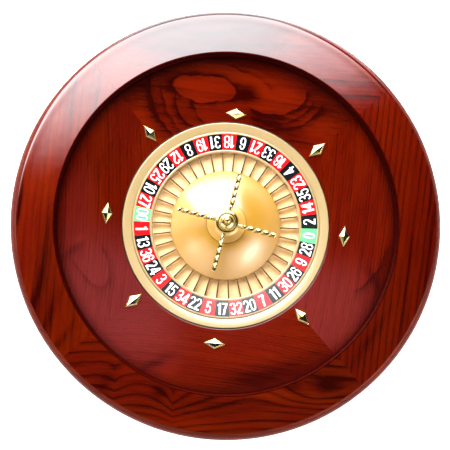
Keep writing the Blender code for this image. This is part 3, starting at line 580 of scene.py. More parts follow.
def quarter(name, outline, q, segs, mat, gap, body, replaces, wall=lambda a, b: False, edge=(-1.0, -1.0, 0.0)):
    """A mitred quarter of a turned ring, its end faces parallel to the mitre."""
    a0 = math.radians(45.0 + 90.0 * q)
    a1 = a0 + math.pi / 2
    n = len(outline)
    verts, faces, index = [], [], []
    for i in range(segs + 1):
        t = i / segs
        for r, z in outline:
            d = math.asin(gap / r)
            a = (a0 + d) * (1 - t) + (a1 - d) * t
            verts.append((MM * r * math.cos(a), MM * r * math.sin(a), MM * z))
    for i in range(segs):
        t = (i + 0.5) / segs
        limit = edge[0] * (1 - t) + edge[1] * t - edge[2] * 4 * t * (1 - t)
        for j in range(n):
            k = (j + 1) % n
            faces.append((i * n + j, (i + 1) * n + j, (i + 1) * n + k, i * n + k))
            # faces low on the outer round-over and on the underside take the dull edge material, whose tanner colour is
            # painted reflection
            low = min(outline[j][0], outline[k][0]) > 232.0 and max(outline[j][1], outline[k][1]) < limit
            under_side = min(outline[j][0], outline[k][0]) > 150.0 and max(outline[j][1], outline[k][1]) < 48.6
            # faces picked by the wall test take the dark painted-shade wall material
            index.append(1 if wall(outline[j], outline[k]) else 2 if low or under_side else 0)
    faces.append(tuple(range(n)))
    faces.append(tuple(segs * n + j for j in reversed(range(n))))
    return mesh_object(name, verts, faces, [mat, WALL_PAINTED_SHADE, EDGE_PAINTED_REFLECTION], body, index + [0, 0], 35.0, replaces)


# ------------------------------------------------------------------ the bowl and the rim
def arc(cx, cz, rx, rz, d0, d1, n):
    return [(cx + rx * math.cos(math.radians(d0 + (d1 - d0) * i / n)), cz + rz * math.sin(math.radians(d0 + (d1 - d0) * i / n))) for i in range(n + 1)]


cove_r = RIM_IN - TRACK_R
slope_end_r = cove_r + TRACK_R * math.sin(SLOPE)
slope_end_z = LIP_Z + (slope_end_r - BOWL_IN - 2.6) * math.tan(SLOPE)
cove_z = slope_end_z + TRACK_R * math.cos(SLOPE)

lip = rounded([(BOWL_IN, 30.0, 0), (BOWL_IN, LIP_Z - 2.6 * math.tan(SLOPE), 1.0), (150.0, LIP_Z + (150.0 - BOWL_IN - 2.6) * math.tan(SLOPE), 0)], 8)[1:-1]
slope = [(r, LIP_Z + (r - BOWL_IN - 2.6) * math.tan(SLOPE)) for r in [123.0, 123.7] + list(np.linspace(132.0, 196.0, 12))]
cove = [(cove_r + TRACK_R * math.sin(math.radians(d)), cove_z - TRACK_R * math.cos(math.radians(d))) for d in np.arange(9.0, 88.0, 4.0)]
under = rounded([(235.8, 48.0, 1.0), (229.0, 38.5, 26.0), (214.0, 27.0, 30.0), (198.0, 18.2, 20.0), (189.0, 13.6, 1.0), (160.0, 13.6, 0)], 10)[:-1]
bowl_outline = [(BOWL_IN, 14.6), (BOWL_IN, 30.0)] + lip + slope + cove + [(RIM_IN, 64.0), (232.2, 64.0), (232.2, 48.0)] + under + [(BOWL_IN + 1.0, 13.6)]
rim_outline = (
    rounded([(220.0, 64.3, 0), (199.3, 64.3, 0.4), (199.05, 72.36, 0.45), (220.0, RIM_TOP - 0.0794 * 18.8, 0)], 6)[1:-1]
    + [(r, RIM_TOP - 0.0794 * (r - 201.2)) for r in np.linspace(200.6, 238.0, 7)]
    + arc(240.5, 59.2, 9.5, 9.95, 84.8, 0.0, 32)
    + arc(240.5, 59.2, 9.5, 10.9, -6.0, -68.0, 13)
    + rounded([(244.0, 49.3, 0), (240.5, 48.3, 0), (232.5, 48.3, 0.3), (232.5, 64.3, 0)], 3)[1:]
)
for q, side in enumerate(("back", "left", "front", "right")):
    # the wall tests pick the faces painted dark as shade where the rim meets the bowl
    quarter(f"bowl_segment_{side}", bowl_outline, q, 96, BOWL_MATS[side], 0.04, "bowl", (f"bowl_board_{side}",), lambda a, b: min(a[0], b[0]) > 197.0 and max(a[0], b[0]) < 199.5)
    quarter(f"rim_segment_{side}", rim_outline, q, 96, RIM_MATS[side], 0.04, "bowl", (f"rim_board_{side}",), lambda a, b: max(a[0], b[0]) < 200.7, {"back": (67.8, 67.8, 4.3), "left": (67.8, 69.0, 0.0), "front": (68.9, 68.9, 0.0), "right": (68.9, 67.8, 0.0)}[side])

# ------------------------------------------------------------------ the deflectors: bevelled diamonds
for k in range(8):
    lo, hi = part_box(f"deflector_{k + 1}")
    ang = TAU * k / 8
    out = Vector((math.cos(ang), math.sin(ang), 0.0))
    side = Vector((-out.y, out.x, 0.0))
    radius = 131.8 if k == 2 else 139.3
    z = LIP_Z + (radius - BOWL_IN - 2.6) * math.tan(SLOPE)
    up_slope = out * math.cos(SLOPE) + Vector((0, 0, math.sin(SLOPE)))
    normal = Vector((0, 0, math.cos(SLOPE))) - out * math.sin(SLOPE)
    long_dir, short_dir = (up_slope, side) if k % 2 == 1 else (side, up_slope)
    p = MM * (out * radius + Vector((0, 0, z)) + normal * 0.42)
    bm = bmesh.new()
    rings = []
    for grow, h in ((1.0, 0.0), (1.0, 0.35), (0.80, 2.35)):
        row = []
        for a, b in ((1, 0), (0, 1), (-1, 0), (0, -1)):
            row.append(bm.verts.new(p + MM * (long_dir * (a * 12.5 * grow) + short_dir * (b * 6.5 * grow) + normal * h)))
        rings.append(row)
    bm.faces.new(rings[0])
    for lower, upper in zip(rings, rings[1:]):
        for i in range(4):
            j = (i + 1) % 4
            bm.faces.new((lower[i], lower[j], upper[j], upper[i]))
    top = bm.verts.new(p + MM * (normal * 3.65))
    for i in range(4):
        j = (i + 1) % 4
        bm.faces.new((rings[-1][i], rings[-1][j], top))
    bmesh.ops.recalc_face_normals(bm, faces=bm.faces)
    ridge = [e for e in bm.edges if e.is_manifold and e.calc_face_angle(0.0) > 0.12]
    bmesh.ops.bevel(bm, geom=ridge, offset=MM * 0.28, segments=3, profile=0.6, affect="EDGES", clamp_overlap=True)
    me = bpy.data.meshes.new(f"deflector_diamond_{k + 1}")
    bm.to_mesh(me)
    bm.free()
    me.materials.append(BRASS_DEF)
    me.shade_smooth()
    me.set_sharp_from_angle(angle=math.radians(22.0))
    ob = bpy.data.objects.new(me.name, me)
    scene.collection.objects.link(ob)
    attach(ob, "bowl")
    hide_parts(f"deflector_{k + 1}")

# ------------------------------------------------------------------ the rotor
ring_outline = rounded(
    [(109.9, 28.3, 0.3), (117.5, 28.3, 0.3), (117.5, 40.0, 0.6), (RING_R + 0.5, 41.5, 0.6), (RING_R + 0.5, RING_TOP, 0.6), (109.9, RING_TOP - 1.9, 0.6)], 6)
lathe("rim_ring_turned", ring_outline, 360, GOLD, "rotor", replaces=("rotor_rim_ring",))

number_outline = rounded(
    [(106.2, 28.3, 0.2), (109.55, 28.3, 0.2), (109.55, BAND_TOP, 0.35), (107.5, BAND_TOP, 0.25), (107.4, 45.2, 0.0), (88.9, 41.9, 0.0), (88.35, 42.45, 0.35), (86.3, 42.2, 0.35),
     (85.5, 30.5, 0.1), (87.7, 30.5, 0.1), (88.9, 39.5, 0.2), (106.2, 42.8, 0.3)], 4)


def cell_of(i, a, b):
    """Material of a face of the number ring: the painted cells lie between the two lips."""
    on_band = min(a[0], b[0]) > 88.7 and max(a[0], b[0]) < 107.6 and abs(a[0] - b[0]) > 10.0 and a[1] > 41.0 and b[1] > 41.0
    if not on_band:
        return 0
    t = TAU * (i + 0.5) / (POCKETS * 12) + FRET_0
    n = int(math.floor((t - FRET_0 + 1e-9) / STEP)) % POCKETS      # cell n lies between frets n and n + 1
    word = ORDER[(-n - 1) % POCKETS]
    return 1 if word in ("0", "00") else 2 if int(word) in REDS else 3


lathe("number_band", number_outline, POCKETS * 12, [GOLD, GREEN, RED, BLACK], "rotor", replaces=("number_ring",), pick=cell_of, turn=FRET_0)


def band_z(r):
    return 41.9 + (r - 88.9) * (45.2 - 41.9) / (107.4 - 88.9)


def strip(outer, inner):
    return [[outer[i], outer[i + 1], inner[i + 1], inner[i]] for i in range(len(outer) - 1)]


def bowl_stroke(cx, cy, rx, ry, d0, d1, tx=1.65, ty=1.3, n=22, power=2.35):
    """Part of a rounded ring, thick at the sides and a little thinner above and below."""
    rows = []
    for ax, ay in ((rx, ry), (rx - tx, ry - ty)):
        row = []
        for i in range(n + 1):
            a = math.radians(d0 + (d1 - d0) * i / n)
            c, s = math.cos(a), math.sin(a)
            row.append((cx + ax * math.copysign(abs(c) ** (2 / power), c), cy + ay * math.copysign(abs(s) ** (2 / power), s)))
        rows.append(row)
    return strip(*rows)


def glyph(d):
    """A condensed, bold figure 15 mm high, as overlapping polygons, and its width."""
    if d == "0":
        return bowl_stroke(3.3, 7.5, 3.3, 7.5, 0, 360, n=44), 6.6
    if d == "1":
        return [[(1.9, 0), (4.1, 0), (4.1, 15), (2.5, 15), (1.9, 14.2)], [(0.3, 11.0), (2.2, 11.9), (2.5, 15), (1.8, 13.9), (0.3, 12.9)]], 4.4
    if d == "2":
        return bowl_stroke(3.3, 10.7, 3.2, 4.3, 175, -32) + [[(6.05, 8.4), (4.1, 9.2), (0.2, 2.2), (0.2, 0.9), (2.4, 1.6)], [(0.2, 0), (6.5, 0), (6.5, 1.9), (0.2, 1.9)]], 6.6
    if d == "3":
        return bowl_stroke(3.2, 11.1, 3.1, 3.9, 170, -90) + bowl_stroke(3.2, 4.3, 3.3, 4.3, 90, -170) + [[(2.2, 6.95), (3.6, 6.95), (3.6, 8.6), (2.2, 8.6)]], 6.6
    if d == "4":
        return [[(3.8, 0), (5.8, 0), (5.8, 15), (3.8, 15)], [(0, 3.2), (6.9, 3.2), (6.9, 5.0), (0, 5.0)], [(0, 5.0), (1.9, 5.0), (4.3, 12.4), (4.3, 15), (3.9, 15)]], 6.9
    if d == "5":
        return bowl_stroke(3.2, 4.8, 3.3, 4.8, 140, -168) + [[(1.0, 13.2), (6.1, 13.2), (6.1, 15), (1.0, 15)], [(0.6, 7.0), (2.4, 7.6), (2.8, 15), (1.0, 15)]], 6.6
    if d == "6":
        return bowl_stroke(3.3, 4.7, 3.3, 4.7, 0, 360, n=40) + bowl_stroke(3.3, 7.5, 3.3, 7.5, 185, 22), 6.6
    if d == "7":
        return [[(0.1, 13.1), (6.4, 13.1), (6.4, 15), (0.1, 15)], [(1.5, 0), (3.7, 0), (4.6, 6.5), (6.4, 12.6), (6.4, 13.6), (4.3, 13.6), (2.5, 7.0)]], 6.5
    if d == "8":
        return bowl_stroke(3.5, 11.2, 3.2, 3.85, 0, 360, 1.55, 1.2, n=40) + bowl_stroke(3.5, 4.1, 3.5, 4.2, 0, 360, 1.6, 1.25, n=40), 7.0
    parts = bowl_stroke(3.3, 10.3, 3.3, 4.7, 0, 360, n=40) + bowl_stroke(3.3, 7.5, 3.3, 7.5, 5, -158)
    return parts, 6.6


def digits(word, at_angle):
    """The number as thin raised enamel on the sloping band, its top towards the centre."""
    polys, x = [], 0.0
    for ch in word:
        shapes, w = glyph(ch)
        polys += [[(px + x, py) for px, py in poly] for poly in shapes]
        x += w + 0.75
    width = x - 0.75
    squash = min(1.0, 14.2 / width)
    pts, faces = [], []
    for poly in polys:
        area = sum(poly[i][0] * poly[(i + 1) % len(poly)][1] - poly[(i + 1) % len(poly)][0] * poly[i][1] for i in range(len(poly)))
        if area < 0:
            poly = poly[::-1]
        faces.append(list(range(len(pts), len(pts) + len(poly))))
        pts += [Vector(((px - width / 2) * squash, (py - 7.5) * 0.93)) for px, py in poly]
    v2, _, f2, _, _, covered = delaunay_2d_cdt(pts, [], faces, 1, 0.0005)
    f2 = [f for f, o in zip(f2, covered) if o]
    out = Vector((math.cos(at_angle), math.sin(at_angle), 0))
    right = Vector((-out.y, out.x, 0))
    bm = bmesh.new()
    layers = []
    for h in (0.15, 0.02):
        row = []
        for p in v2:
            q = out * (98.3 - p.y) + right * p.x
            row.append(bm.verts.new(MM * Vector((q.x, q.y, band_z(math.hypot(q.x, q.y)) + h))))
        layers.append(row)
    used = {}
    for f in f2:
        bm.faces.new([layers[0][i] for i in f])
        bm.faces.new([layers[1][i] for i in reversed(f)])
        for i in range(len(f)):
            e = (f[i], f[(i + 1) % len(f)])
            used[e] = used.get(e, 0) + 1
    for (a, b) in used:
        if (b, a) not in used:
            bm.faces.new((layers[0][b], layers[0][a], layers[1][a], layers[1][b]))
    loose = [v for v in bm.verts if not v.link_faces]
    bmesh.ops.delete(bm, geom=loose, context="VERTS")
    bmesh.ops.recalc_face_normals(bm, faces=bm.faces)
    return bm


groups = bmesh.new()
for n in range(POCKETS):
    word = ORDER[(-n - 1) % POCKETS]
    part = digits(word, FRET_0 + (n + 0.5) * STEP)
    part_me = bpy.data.meshes.new("tmp")
    part.to_mesh(part_me)
    part.free()
    groups.from_mesh(part_me)
    bpy.data.meshes.remove(part_me)
me = bpy.data.meshes.new("painted_numbers")
groups.to_mesh(me)
groups.free()
me.materials.append(WHITE)
ob = bpy.data.objects.new("painted_numbers", me)
scene.collection.objects.link(ob)
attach(ob, "rotor")


def frets():
    """Pocket floor with the frets standing on it, each with a rounded top and a small fillet at its foot."""
    sect = [(-1.22, 0.0), (-1.04, 0.18), (-0.96, 0.6), (-0.92, 8.6), (-0.87, 9.3), (-0.72, 9.57), (0.0, 9.6), (0.72, 9.57), (0.87, 9.3), (0.92, 8.6), (0.96, 0.6), (1.04, 0.18), (1.22, 0.0)]
    radii = [59.0, 64.8, 65.0, 65.1, 65.4, 75.0, 84.5, 84.8, 84.9, 85.0, 88.6]
    rise = [0.0, 0.0, 0.95, 0.985, 1.0, 1.0, 1.0, 0.985, 0.95, 0.0, 0.0]
    cols = []
    verts, faces, index = [], [], []

    def add(r, a, z):
        verts.append((MM * r * math.cos(a), MM * r * math.sin(a), MM * z))
        return len(verts) - 1

    for k in range(POCKETS):
        mid = FRET_0 + k * STEP
        for s, h in sect:
            cols.append([add(r, mid + s / r, FLOOR_TOP + h * f) for r, f in zip(radii, rise)] + [add(88.6, mid + s / 88.6, 28.3), add(59.0, mid + s / 59.0, 28.3)])
        for t in (0.25, 0.5, 0.75):
            row = []
            for r in radii:
                a0, a1 = mid + sect[-1][0] / r, mid + STEP + sect[0][0] / r
                row.append(add(r, a0 * (1 - t) + a1 * t, FLOOR_TOP))
            a0, a1 = mid + sect[-1][0] / 88.6, mid + STEP + sect[0][0] / 88.6
            row.append(add(88.6, a0 * (1 - t) + a1 * t, 28.3))
            a0, a1 = mid + sect[-1][0] / 59.0, mid + STEP + sect[0][0] / 59.0
            row.append(add(59.0, a0 * (1 - t) + a1 * t, 28.3))
            cols.append(row)
    n = len(cols)
    m = len(cols[0])
    for i in range(n):
        a, b = cols[i], cols[(i + 1) % n]
        for j in range(m):
            l = (j + 1) % m
            faces.append((a[j], b[j], b[l], a[l]))
            place = i % (len(sect) + 3)
            # the tops of the frets take the dark painted-shade material
            shaded_fret_top = place < len(sect) - 1 and min(sect[place][1], sect[place + 1][1]) > 8.5 and max(j, l) < len(rise) and max(rise[min(j, 10)], rise[min(l, 10)]) > 0.0
            index.append(1 if shaded_fret_top else 0)
    return mesh_object("pocket_frets", verts, faces, [GOLD_FLOOR, FRET_TOP_PAINTED_SHADE], "rotor", index, 40.0, ("fret_ring",))


frets()

dome_pts = []
for i in range(41):
    t = i / 40
    r = DOME_R - 0.9 - t * (DOME_R - 0.9 - 21.7)
    dome_pts.append((r, 41.0 + (DOME_TOP - 41.0) * (1.0 - (1.0 - t) ** 1.42)))
inner = [(r - 1.8, z - 2.6) for r, z in reversed(dome_pts[::4])]
dome_outline = [(DOME_R - 2.4, 30.5), (DOME_R - 0.2, 30.5), (DOME_R, 30.7), (DOME_R, 39.6), (DOME_R - 0.15, 40.2), (DOME_R - 0.45, 40.65)] + dome_pts + [(9.0, DOME_TOP), (9.0, DOME_TOP - 2.4)] + inner
lathe("dome_spun", dome_outline, 256, GOLD_DOME, "rotor", sharp=50.0, replaces=("dome",))

# ------------------------------------------------------------------ the turret
flange = [(0.0, 60.4)] + rounded(
    [(0.0, 60.4, 0), (8.7, 60.4, 0.2), (8.7, 62.7, 0.0), (22.9, 62.7, 0.1), (22.9, 63.6, 0.35), (20.6, 64.2, 4.0), (15.0, 65.9, 8.0), (11.6, 68.1, 4.0), (10.0, 70.9, 0.4), (0.0, 70.9, 0)], 7)[1:-1] + [(0.0, 70.9)]
lathe("turret_flange", flange, 128, GOLD_FLANGE, "rotor", sharp=40.0, replaces=("turret_base",))
hub = [(0.0, 71.2)] + rounded([(0.0, 71.2, 0), (10.6, 71.2, 0.3), (11.7, 72.4, 0.9), (11.7, 79.2, 0.9), (10.8, 80.4, 0.3), (0.0, 80.4, 0)], 5)[1:-1] + [(0.0, 80.4)]
hub_ob = lathe("turret_collar", hub, 128, BRASS, "rotor", sharp=35.0, replaces=("turret_hub",))
ARM_Z = (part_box("turret_arm_1")[0].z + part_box("turret_arm_1")[1].z) / 2 / MM
ARM_TURN = math.radians(-9.9)
socket = bmesh.new()
for k in range(4):
    place = Matrix.Rotation(ARM_TURN + k * math.pi / 2, 4, "Z") @ Matrix.Translation((MM * 11.0, 0, MM * ARM_Z)) @ Matrix.Rotation(math.pi / 2, 4, "Y")
    bmesh.ops.create_cone(socket, cap_ends=True, segments=32, radius1=MM * 2.65, radius2=MM * 2.65, depth=MM * 9.6, matrix=place)
socket_me = bpy.data.meshes.new("socket_cut")
socket.to_mesh(socket_me)
socket.free()
socket_ob = bpy.data.objects.new("socket_cut", socket_me)
scene.collection.objects.link(socket_ob)
cut = hub_ob.modifiers.new("sockets", "BOOLEAN")
cut.operation = "DIFFERENCE"
cut.solver = "EXACT"
cut.object = socket_ob
bpy.context.view_layer.update()
done = bpy.data.meshes.new_from_object(hub_ob.evaluated_get(bpy.context.evaluated_depsgraph_get()))
hub_ob.modifiers.clear()
hub_ob.data = done
done.name = "turret_collar"
bpy.data.objects.remove(socket_ob)


def arm(k):
    """Round root with a collar, then a rounded square bar with a quarter twist every 9 mm, and a blunt tip."""
    angle = ARM_TURN + k * math.pi / 2
    tip = 58.9
    verts, faces = [], []
    stations = [(6.6, 1.9, 0.0, 0.0), (6.9, 2.35, 0.0, 0.0), (12.4, 2.35, 0.0, 0.0), (12.6, 2.45, 0.0, 0.0), (17.8, 2.35, 0.0, 0.0), (18.6, 2.5, 0.0, 0.0), (19.4, 2.35, 0.0, 0.0), (20.2, 1.95, 0.0, 0.4)]
    count = 72
    for i in range(count + 1):
        t = i / count
        x = 20.8 + t * (tip - 1.5 - 20.8)
        stations.append((x, 2.28, t * TAU * (tip - 1.5 - 20.8) / 36.0, 1.0))
    last = TAU * (tip - 1.5 - 20.8) / 36.0
    stations += [(tip - 0.8, 2.15, last + 0.12, 1.0), (tip - 0.2, 1.75, last + 0.22, 1.0), (tip, 1.1, last + 0.25, 1.0)]
    sides = 24
    for x, size, twist, square in stations:
        for j in range(sides):
            a = TAU * j / sides
            c, s = math.cos(a), math.sin(a)
            sq = 1.0 / (abs(c) ** 7 + abs(s) ** 7) ** (1.0 / 7.0)
            rr = size * ((1 - square) + square * sq)
            verts.append((x, rr * math.cos(a + twist), ARM_Z + rr * math.sin(a + twist)))
    rot = Matrix.Rotation(angle, 3, "Z")
    verts = [tuple(rot @ Vector(v) * MM) for v in verts]
    n = len(stations)
    for i in range(n - 1):
        for j in range(sides):
            l = (j + 1) % sides
            faces.append((i * sides + j, i * sides + l, (i + 1) * sides + l, (i + 1) * sides + j))
    faces.append(tuple(range(sides)))
    faces.append(tuple((n - 1) * sides + j for j in range(sides)))
    return mesh_object(f"twisted_arm_{k + 1}", verts, faces, BRASS_ARM, "rotor", None, 28.0, (f"turret_arm_{k + 1}",))


for k in range(4):
    arm(k)

cap = [(0.0, 80.7)] + rounded(
    [(0.0, 80.7, 0), (12.6, 80.7, 0.3), (13.4, 81.5, 0.5), (13.4, 83.3, 0.5), (12.6, 84.1, 0.3), (10.9, 84.5, 0.25), (10.7, 85.6, 0.5), (9.9, 87.2, 4.0), (8.2, 89.1, 4.0), (5.2, 90.9, 1.2), (0.0, 90.9, 0)], 8)[1:-1] + [(0.0, 90.9)]
lathe("turret_crown", cap, 128, BRASS, "rotor", sharp=45.0, replaces=("turret_cap",))
knob = [(0.0, 91.2), (4.2, 91.2), (4.4, 91.4), (4.4, 92.0), (4.2, 92.3), (3.5, 92.7), (3.0, 93.3), (2.9, 94.0), (3.05, 94.7)]
for d in np.arange(-48.0, 86.0, 7.0):
    knob.append((4.7 * math.cos(math.radians(d)), 98.4 + 4.6 * math.sin(math.radians(d))))
knob.append((0.0, KNOB_TOP))
lathe("turret_knob", knob, 96, BRASS, "rotor", sharp=45.0, replaces=("finial",))

# ------------------------------------------------------------------ base plate, feet and their screws
base_outline = [(0.0, 5.3)] + rounded([(0.0, 5.3, 0), (184.0, 5.3, 0.6), (186.0, 7.3, 0.6), (186.0, 13.3, 0.4), (0.0, 13.3, 0)], 4)[1:-1] + [(0.0, 13.3)]
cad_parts["base_plate"].material_slots[0].material = PLY
for k in range(4):
    lo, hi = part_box(f"foot_{k + 1}")
    c = ((lo.x + hi.x) / 2 / MM, (lo.y + hi.y) / 2 / MM)
    foot = rounded([(2.7, 5.0, 0.1), (2.7, 2.6, 0.2), (6.4, 2.6, 0.3), (6.4, 0.0, 0.5), (11.9, 0.0, 0.8), (13.0, 1.2, 0.6), (12.4, 4.0, 0.5), (12.0, 5.0, 0.3)], 4)
    lathe(f"rubber_foot_{k + 1}", foot, 64, RUBBER, "bowl", replaces=(f"foot_{k + 1}",), at=c)


def pan_screw(name, node, body, up, head_r, shank_r, head_h, seat, point):
    """Pan-head screw with a cross recess and a threaded shank."""
    lo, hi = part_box(node)
    cx, cy = (lo.x + hi.x) / 2, (lo.y + hi.y) / 2
    s = 1.0 if up else -1.0
    top = seat + s * head_h
    out = [(0.0, top - s * 0.05), (head_r * 0.35, top - s * 0.08), (head_r * 0.62, top - s * 0.22), (head_r * 0.86, top - s * head_h * 0.42), (head_r * 0.98, top - s * head_h * 0.7), (head_r, seat + s * 0.1), (head_r - 0.15, seat), (shank_r, seat)]
    span = abs(point - seat)
    turns = max(2, int((span - 2.2) / 0.9))
    for i in range(turns):
        z0 = seat - s * (0.6 + i * 0.9)
        out += [(shank_r * 0.78, z0), (shank_r, z0 - s * 0.3), (shank_r * 0.78, z0 - s * 0.6)]
    out += [(shank_r * 0.7, point + s * 1.1), (0.35, point + s * 0.1), (0.0, point)]
    ob = lathe(name, [(r, z) for r, z in out], 32, STEEL, body, sharp=40.0, replaces=(node,), at=(cx / MM, cy / MM))
    bm = bmesh.new()
    for a in (0.0, math.pi / 2):
        place = Matrix.Translation((cx, cy, MM * (top + s * 0.15))) @ Matrix.Rotation(a + 0.35, 4, "Z")
        res = bmesh.ops.create_cube(bm, size=1.0, matrix=place @ Matrix.Diagonal((MM * head_r * 1.15, MM * head_r * 0.24, MM * head_h * 1.1, 1.0)))
    me = bpy.data.meshes.new("recess")
    bm.to_mesh(me)
    bm.free()
    cutter = bpy.data.objects.new("recess", me)
    scene.collection.objects.link(cutter)
    mod = ob.modifiers.new("recess", "BOOLEAN")
    mod.operation = "DIFFERENCE"
    mod.solver = "EXACT"
    mod.use_self = True
    mod.object = cutter
    bpy.context.view_layer.update()
    new = bpy.data.meshes.new_from_object(ob.evaluated_get(bpy.context.evaluated_depsgraph_get()))
    ob.modifiers.clear()
    ob.data = new
    bpy.data.objects.remove(cutter)
    new.set_sharp_from_angle(angle=math.radians(35.0))
    return ob


for k in range(4):
    pan_screw(f"foot_pan_screw_{k + 1}", f"foot_screw_{k + 1}", "bowl", False, 5.0, 2.0, 1.7, 2.3, 11.0)

# ------------------------------------------------------------------ inner pieces keep their CAD shape
for name, mat in (
    ("spindle", STEEL), ("spindle_nut", STEEL), ("race_spacer", STEEL), ("bearing_housing", ALLOY), ("rotor_plate", ALLOY),
    ("lower_inner_race", BEARING), ("upper_inner_race", BEARING), ("lower_outer_race", BEARING), ("upper_outer_race", BEARING),
    ("lower_ball_cage", BEARING), ("upper_ball_cage", BEARING),
    ("spindle_screw_1", STEEL), ("spindle_screw_2", STEEL), ("spindle_screw_3", STEEL),
    ("housing_screw_1", STEEL), ("housing_screw_2", STEEL), ("housing_screw_3", STEEL), ("housing_screw_4", STEEL),
):
    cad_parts[name].material_slots[0].material = mat

# ------------------------------------------------------------------ floor
T = Tree("studio_floor")
speck = T.noise(T.vec("SCALE", T.coord(), scale=1 / 300.0), 1.0, 2.0, 0.5)
T.set(Base_Color=T.mix(speck, (0.90, 0.90, 0.90), (0.93, 0.93, 0.93)), Roughness=0.9, Specular_IOR_Level=0.0, Emission_Color=(1.0, 1.0, 1.0, 1.0), Emission_Strength=0.90)
floor_me = bpy.data.meshes.new("floor")
floor_me.from_pydata([(-9, -9, 0), (9, -9, 0), (9, 9, 0), (-9, 9, 0)], [], [(0, 1, 2, 3)])
floor_me.materials.append(T.mat)
floor = bpy.data.objects.new("floor", floor_me)
scene.collection.objects.link(floor)
floor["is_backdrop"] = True

# ------------------------------------------------------------------ light
TURN = math.radians(5.4)          # the wheel is turned this much in the view


def area(name, azimuth, off_vertical, distance, size_x, size_y, radiance, colour=(1, 1, 1), shift=(0.0, 0.0), edges=None):
    """A soft light. azimuth is in the view's own frame, counter-clockwise from its right; `shift` slides it in
    its own plane, and `edges` (left, right, bottom, top) fades it towards its edges, as shares of its size."""
    a = math.radians(azimuth) + TURN
    e = math.radians(off_vertical)
    pos = Vector((math.sin(e) * math.cos(a), math.sin(e) * math.sin(a), math.cos(e))) * distance
    li = bpy.data.lights.new(name, "AREA")
    li.shape = "RECTANGLE"
    li.size = size_x
    li.size_y = size_y
    li.energy = radiance * math.pi * size_x * size_y
    li.color = colour
    if edges:
        li.use_nodes = True
        nt = li.node_tree
        em = next(n for n in nt.nodes if n.type == "EMISSION")
        geo = nt.nodes.new("ShaderNodeNewGeometry")
        sep = nt.nodes.new("ShaderNodeSeparateXYZ")
        nt.links.new(geo.outputs["Parametric"], sep.inputs[0])
        value = None
        for axis, lo, hi in ((0, edges[0], edges[1]), (1, edges[2], edges[3])):
            for start, end in ((0.0, lo), (1.0, 1.0 - hi)):
                if start == end:
                    continue
                mr = nt.nodes.new("ShaderNodeMapRange")
                mr.interpolation_type = "SMOOTHSTEP"
                mr.inputs[1].default_value = start
                mr.inputs[2].default_value = end
                nt.links.new(sep.outputs[axis], mr.inputs[0])
                if value is None:
                    value = mr.outputs[0]
                else:
                    mu = nt.nodes.new("ShaderNodeMath")
                    mu.operation = "MULTIPLY"
                    nt.links.new(value, mu.inputs[0])
                    nt.links.new(mr.outputs[0], mu.inputs[1])
                    value = mu.outputs[0]
        nt.links.new(value, em.inputs["Strength"])
    ob = bpy.data.objects.new(name, li)
    rot = (Vector((0, 0, 0.04)) - pos).to_track_quat("-Z", "Y")
    ob.location = pos + rot @ Vector((shift[0], shift[1], 0.0))
    ob.rotation_euler = rot.to_euler()
    ob.visible_camera = False
    scene.collection.objects.link(ob)
    return ob


area("window", 102.5, 45.0, 1.35, 1.86, 1.44, 15.6, (0.925, 0.985, 1.02), shift=(0.08, 0.08), edges=(0.14, 0.10, 0.06, 0.30))
area("fill_right", -41.0, 56.0, 1.5, 1.45, 0.32, 11.5, edges=(0.4, 0.4, 0.4, 0.4))
area("fill_left", 207.0, 56.0, 1.5, 0.95, 0.20, 5.0, (1.0, 0.95, 0.96), edges=(0.4, 0.4, 0.4, 0.4))

world = bpy.data.worlds.new("studio")
scene.world = world
world.use_nodes = True
wt = world.node_tree
wt.nodes.clear()


def wnode(kind, op=None, **ins):
    n = wt.nodes.new(kind)
    if op:
        n.operation = op
    for k, val in ins.items():
        sock = n.inputs[int(k[1:])]
        if isinstance(val, bpy.types.NodeSocket):
            wt.links.new(val, sock)
        else:
            sock.default_value = val
    return n.outputs[0]


tc = wt.nodes.new("ShaderNodeTexCoord")
sep = wt.nodes.new("ShaderNodeSeparateXYZ")
wt.links.new(tc.outputs["Generated"], sep.inputs[0])
rampn = wt.nodes.new("ShaderNodeValToRGB")
els = rampn.color_ramp.elements
els[0].position, els[0].color = 0.0, (1.3, 1.3, 1.3, 1)
els[1].position, els[1].color = 1.0, (0.014, 0.014, 0.014, 1)
for pos, v in ((0.28, 1.2), (0.50, 0.75), (0.68, 0.45), (0.80, 0.16), (0.89, 0.03)):
    e = els.new(pos)
    e.color = (v, v, v, 1)
wt.links.new(sep.outputs[2], rampn.inputs[0])
azim = wnode("ShaderNodeMath", "ARCTAN2", _0=sep.outputs[1], _1=sep.outputs[0])
dim = None
for centre, half, depth in ((-97.0, 10.0, 0.65), (192.0, 11.0, 0.85), (34.0, 34.0, 0.93)):
    # how far round from the dark thing's own bearing
    off = wnode("ShaderNodeMath", "ADD", _0=azim, _1=-math.radians(centre) - TURN)
    near = wnode("ShaderNodeMath", "COSINE", _0=off)
    mr = wt.nodes.new("ShaderNodeMapRange")
    mr.interpolation_type = "SMOOTHSTEP"
    wt.links.new(near, mr.inputs[0])
    mr.inputs[1].default_value = math.cos(math.radians(half * 1.5))
    mr.inputs[2].default_value = math.cos(math.radians(half * 0.6))
    keep = wnode("ShaderNodeMath", "MULTIPLY_ADD", _0=mr.outputs[0], _1=-depth, _2=1.0)
    dim = keep if dim is None else wnode("ShaderNodeMath", "MULTIPLY", _0=dim, _1=keep)
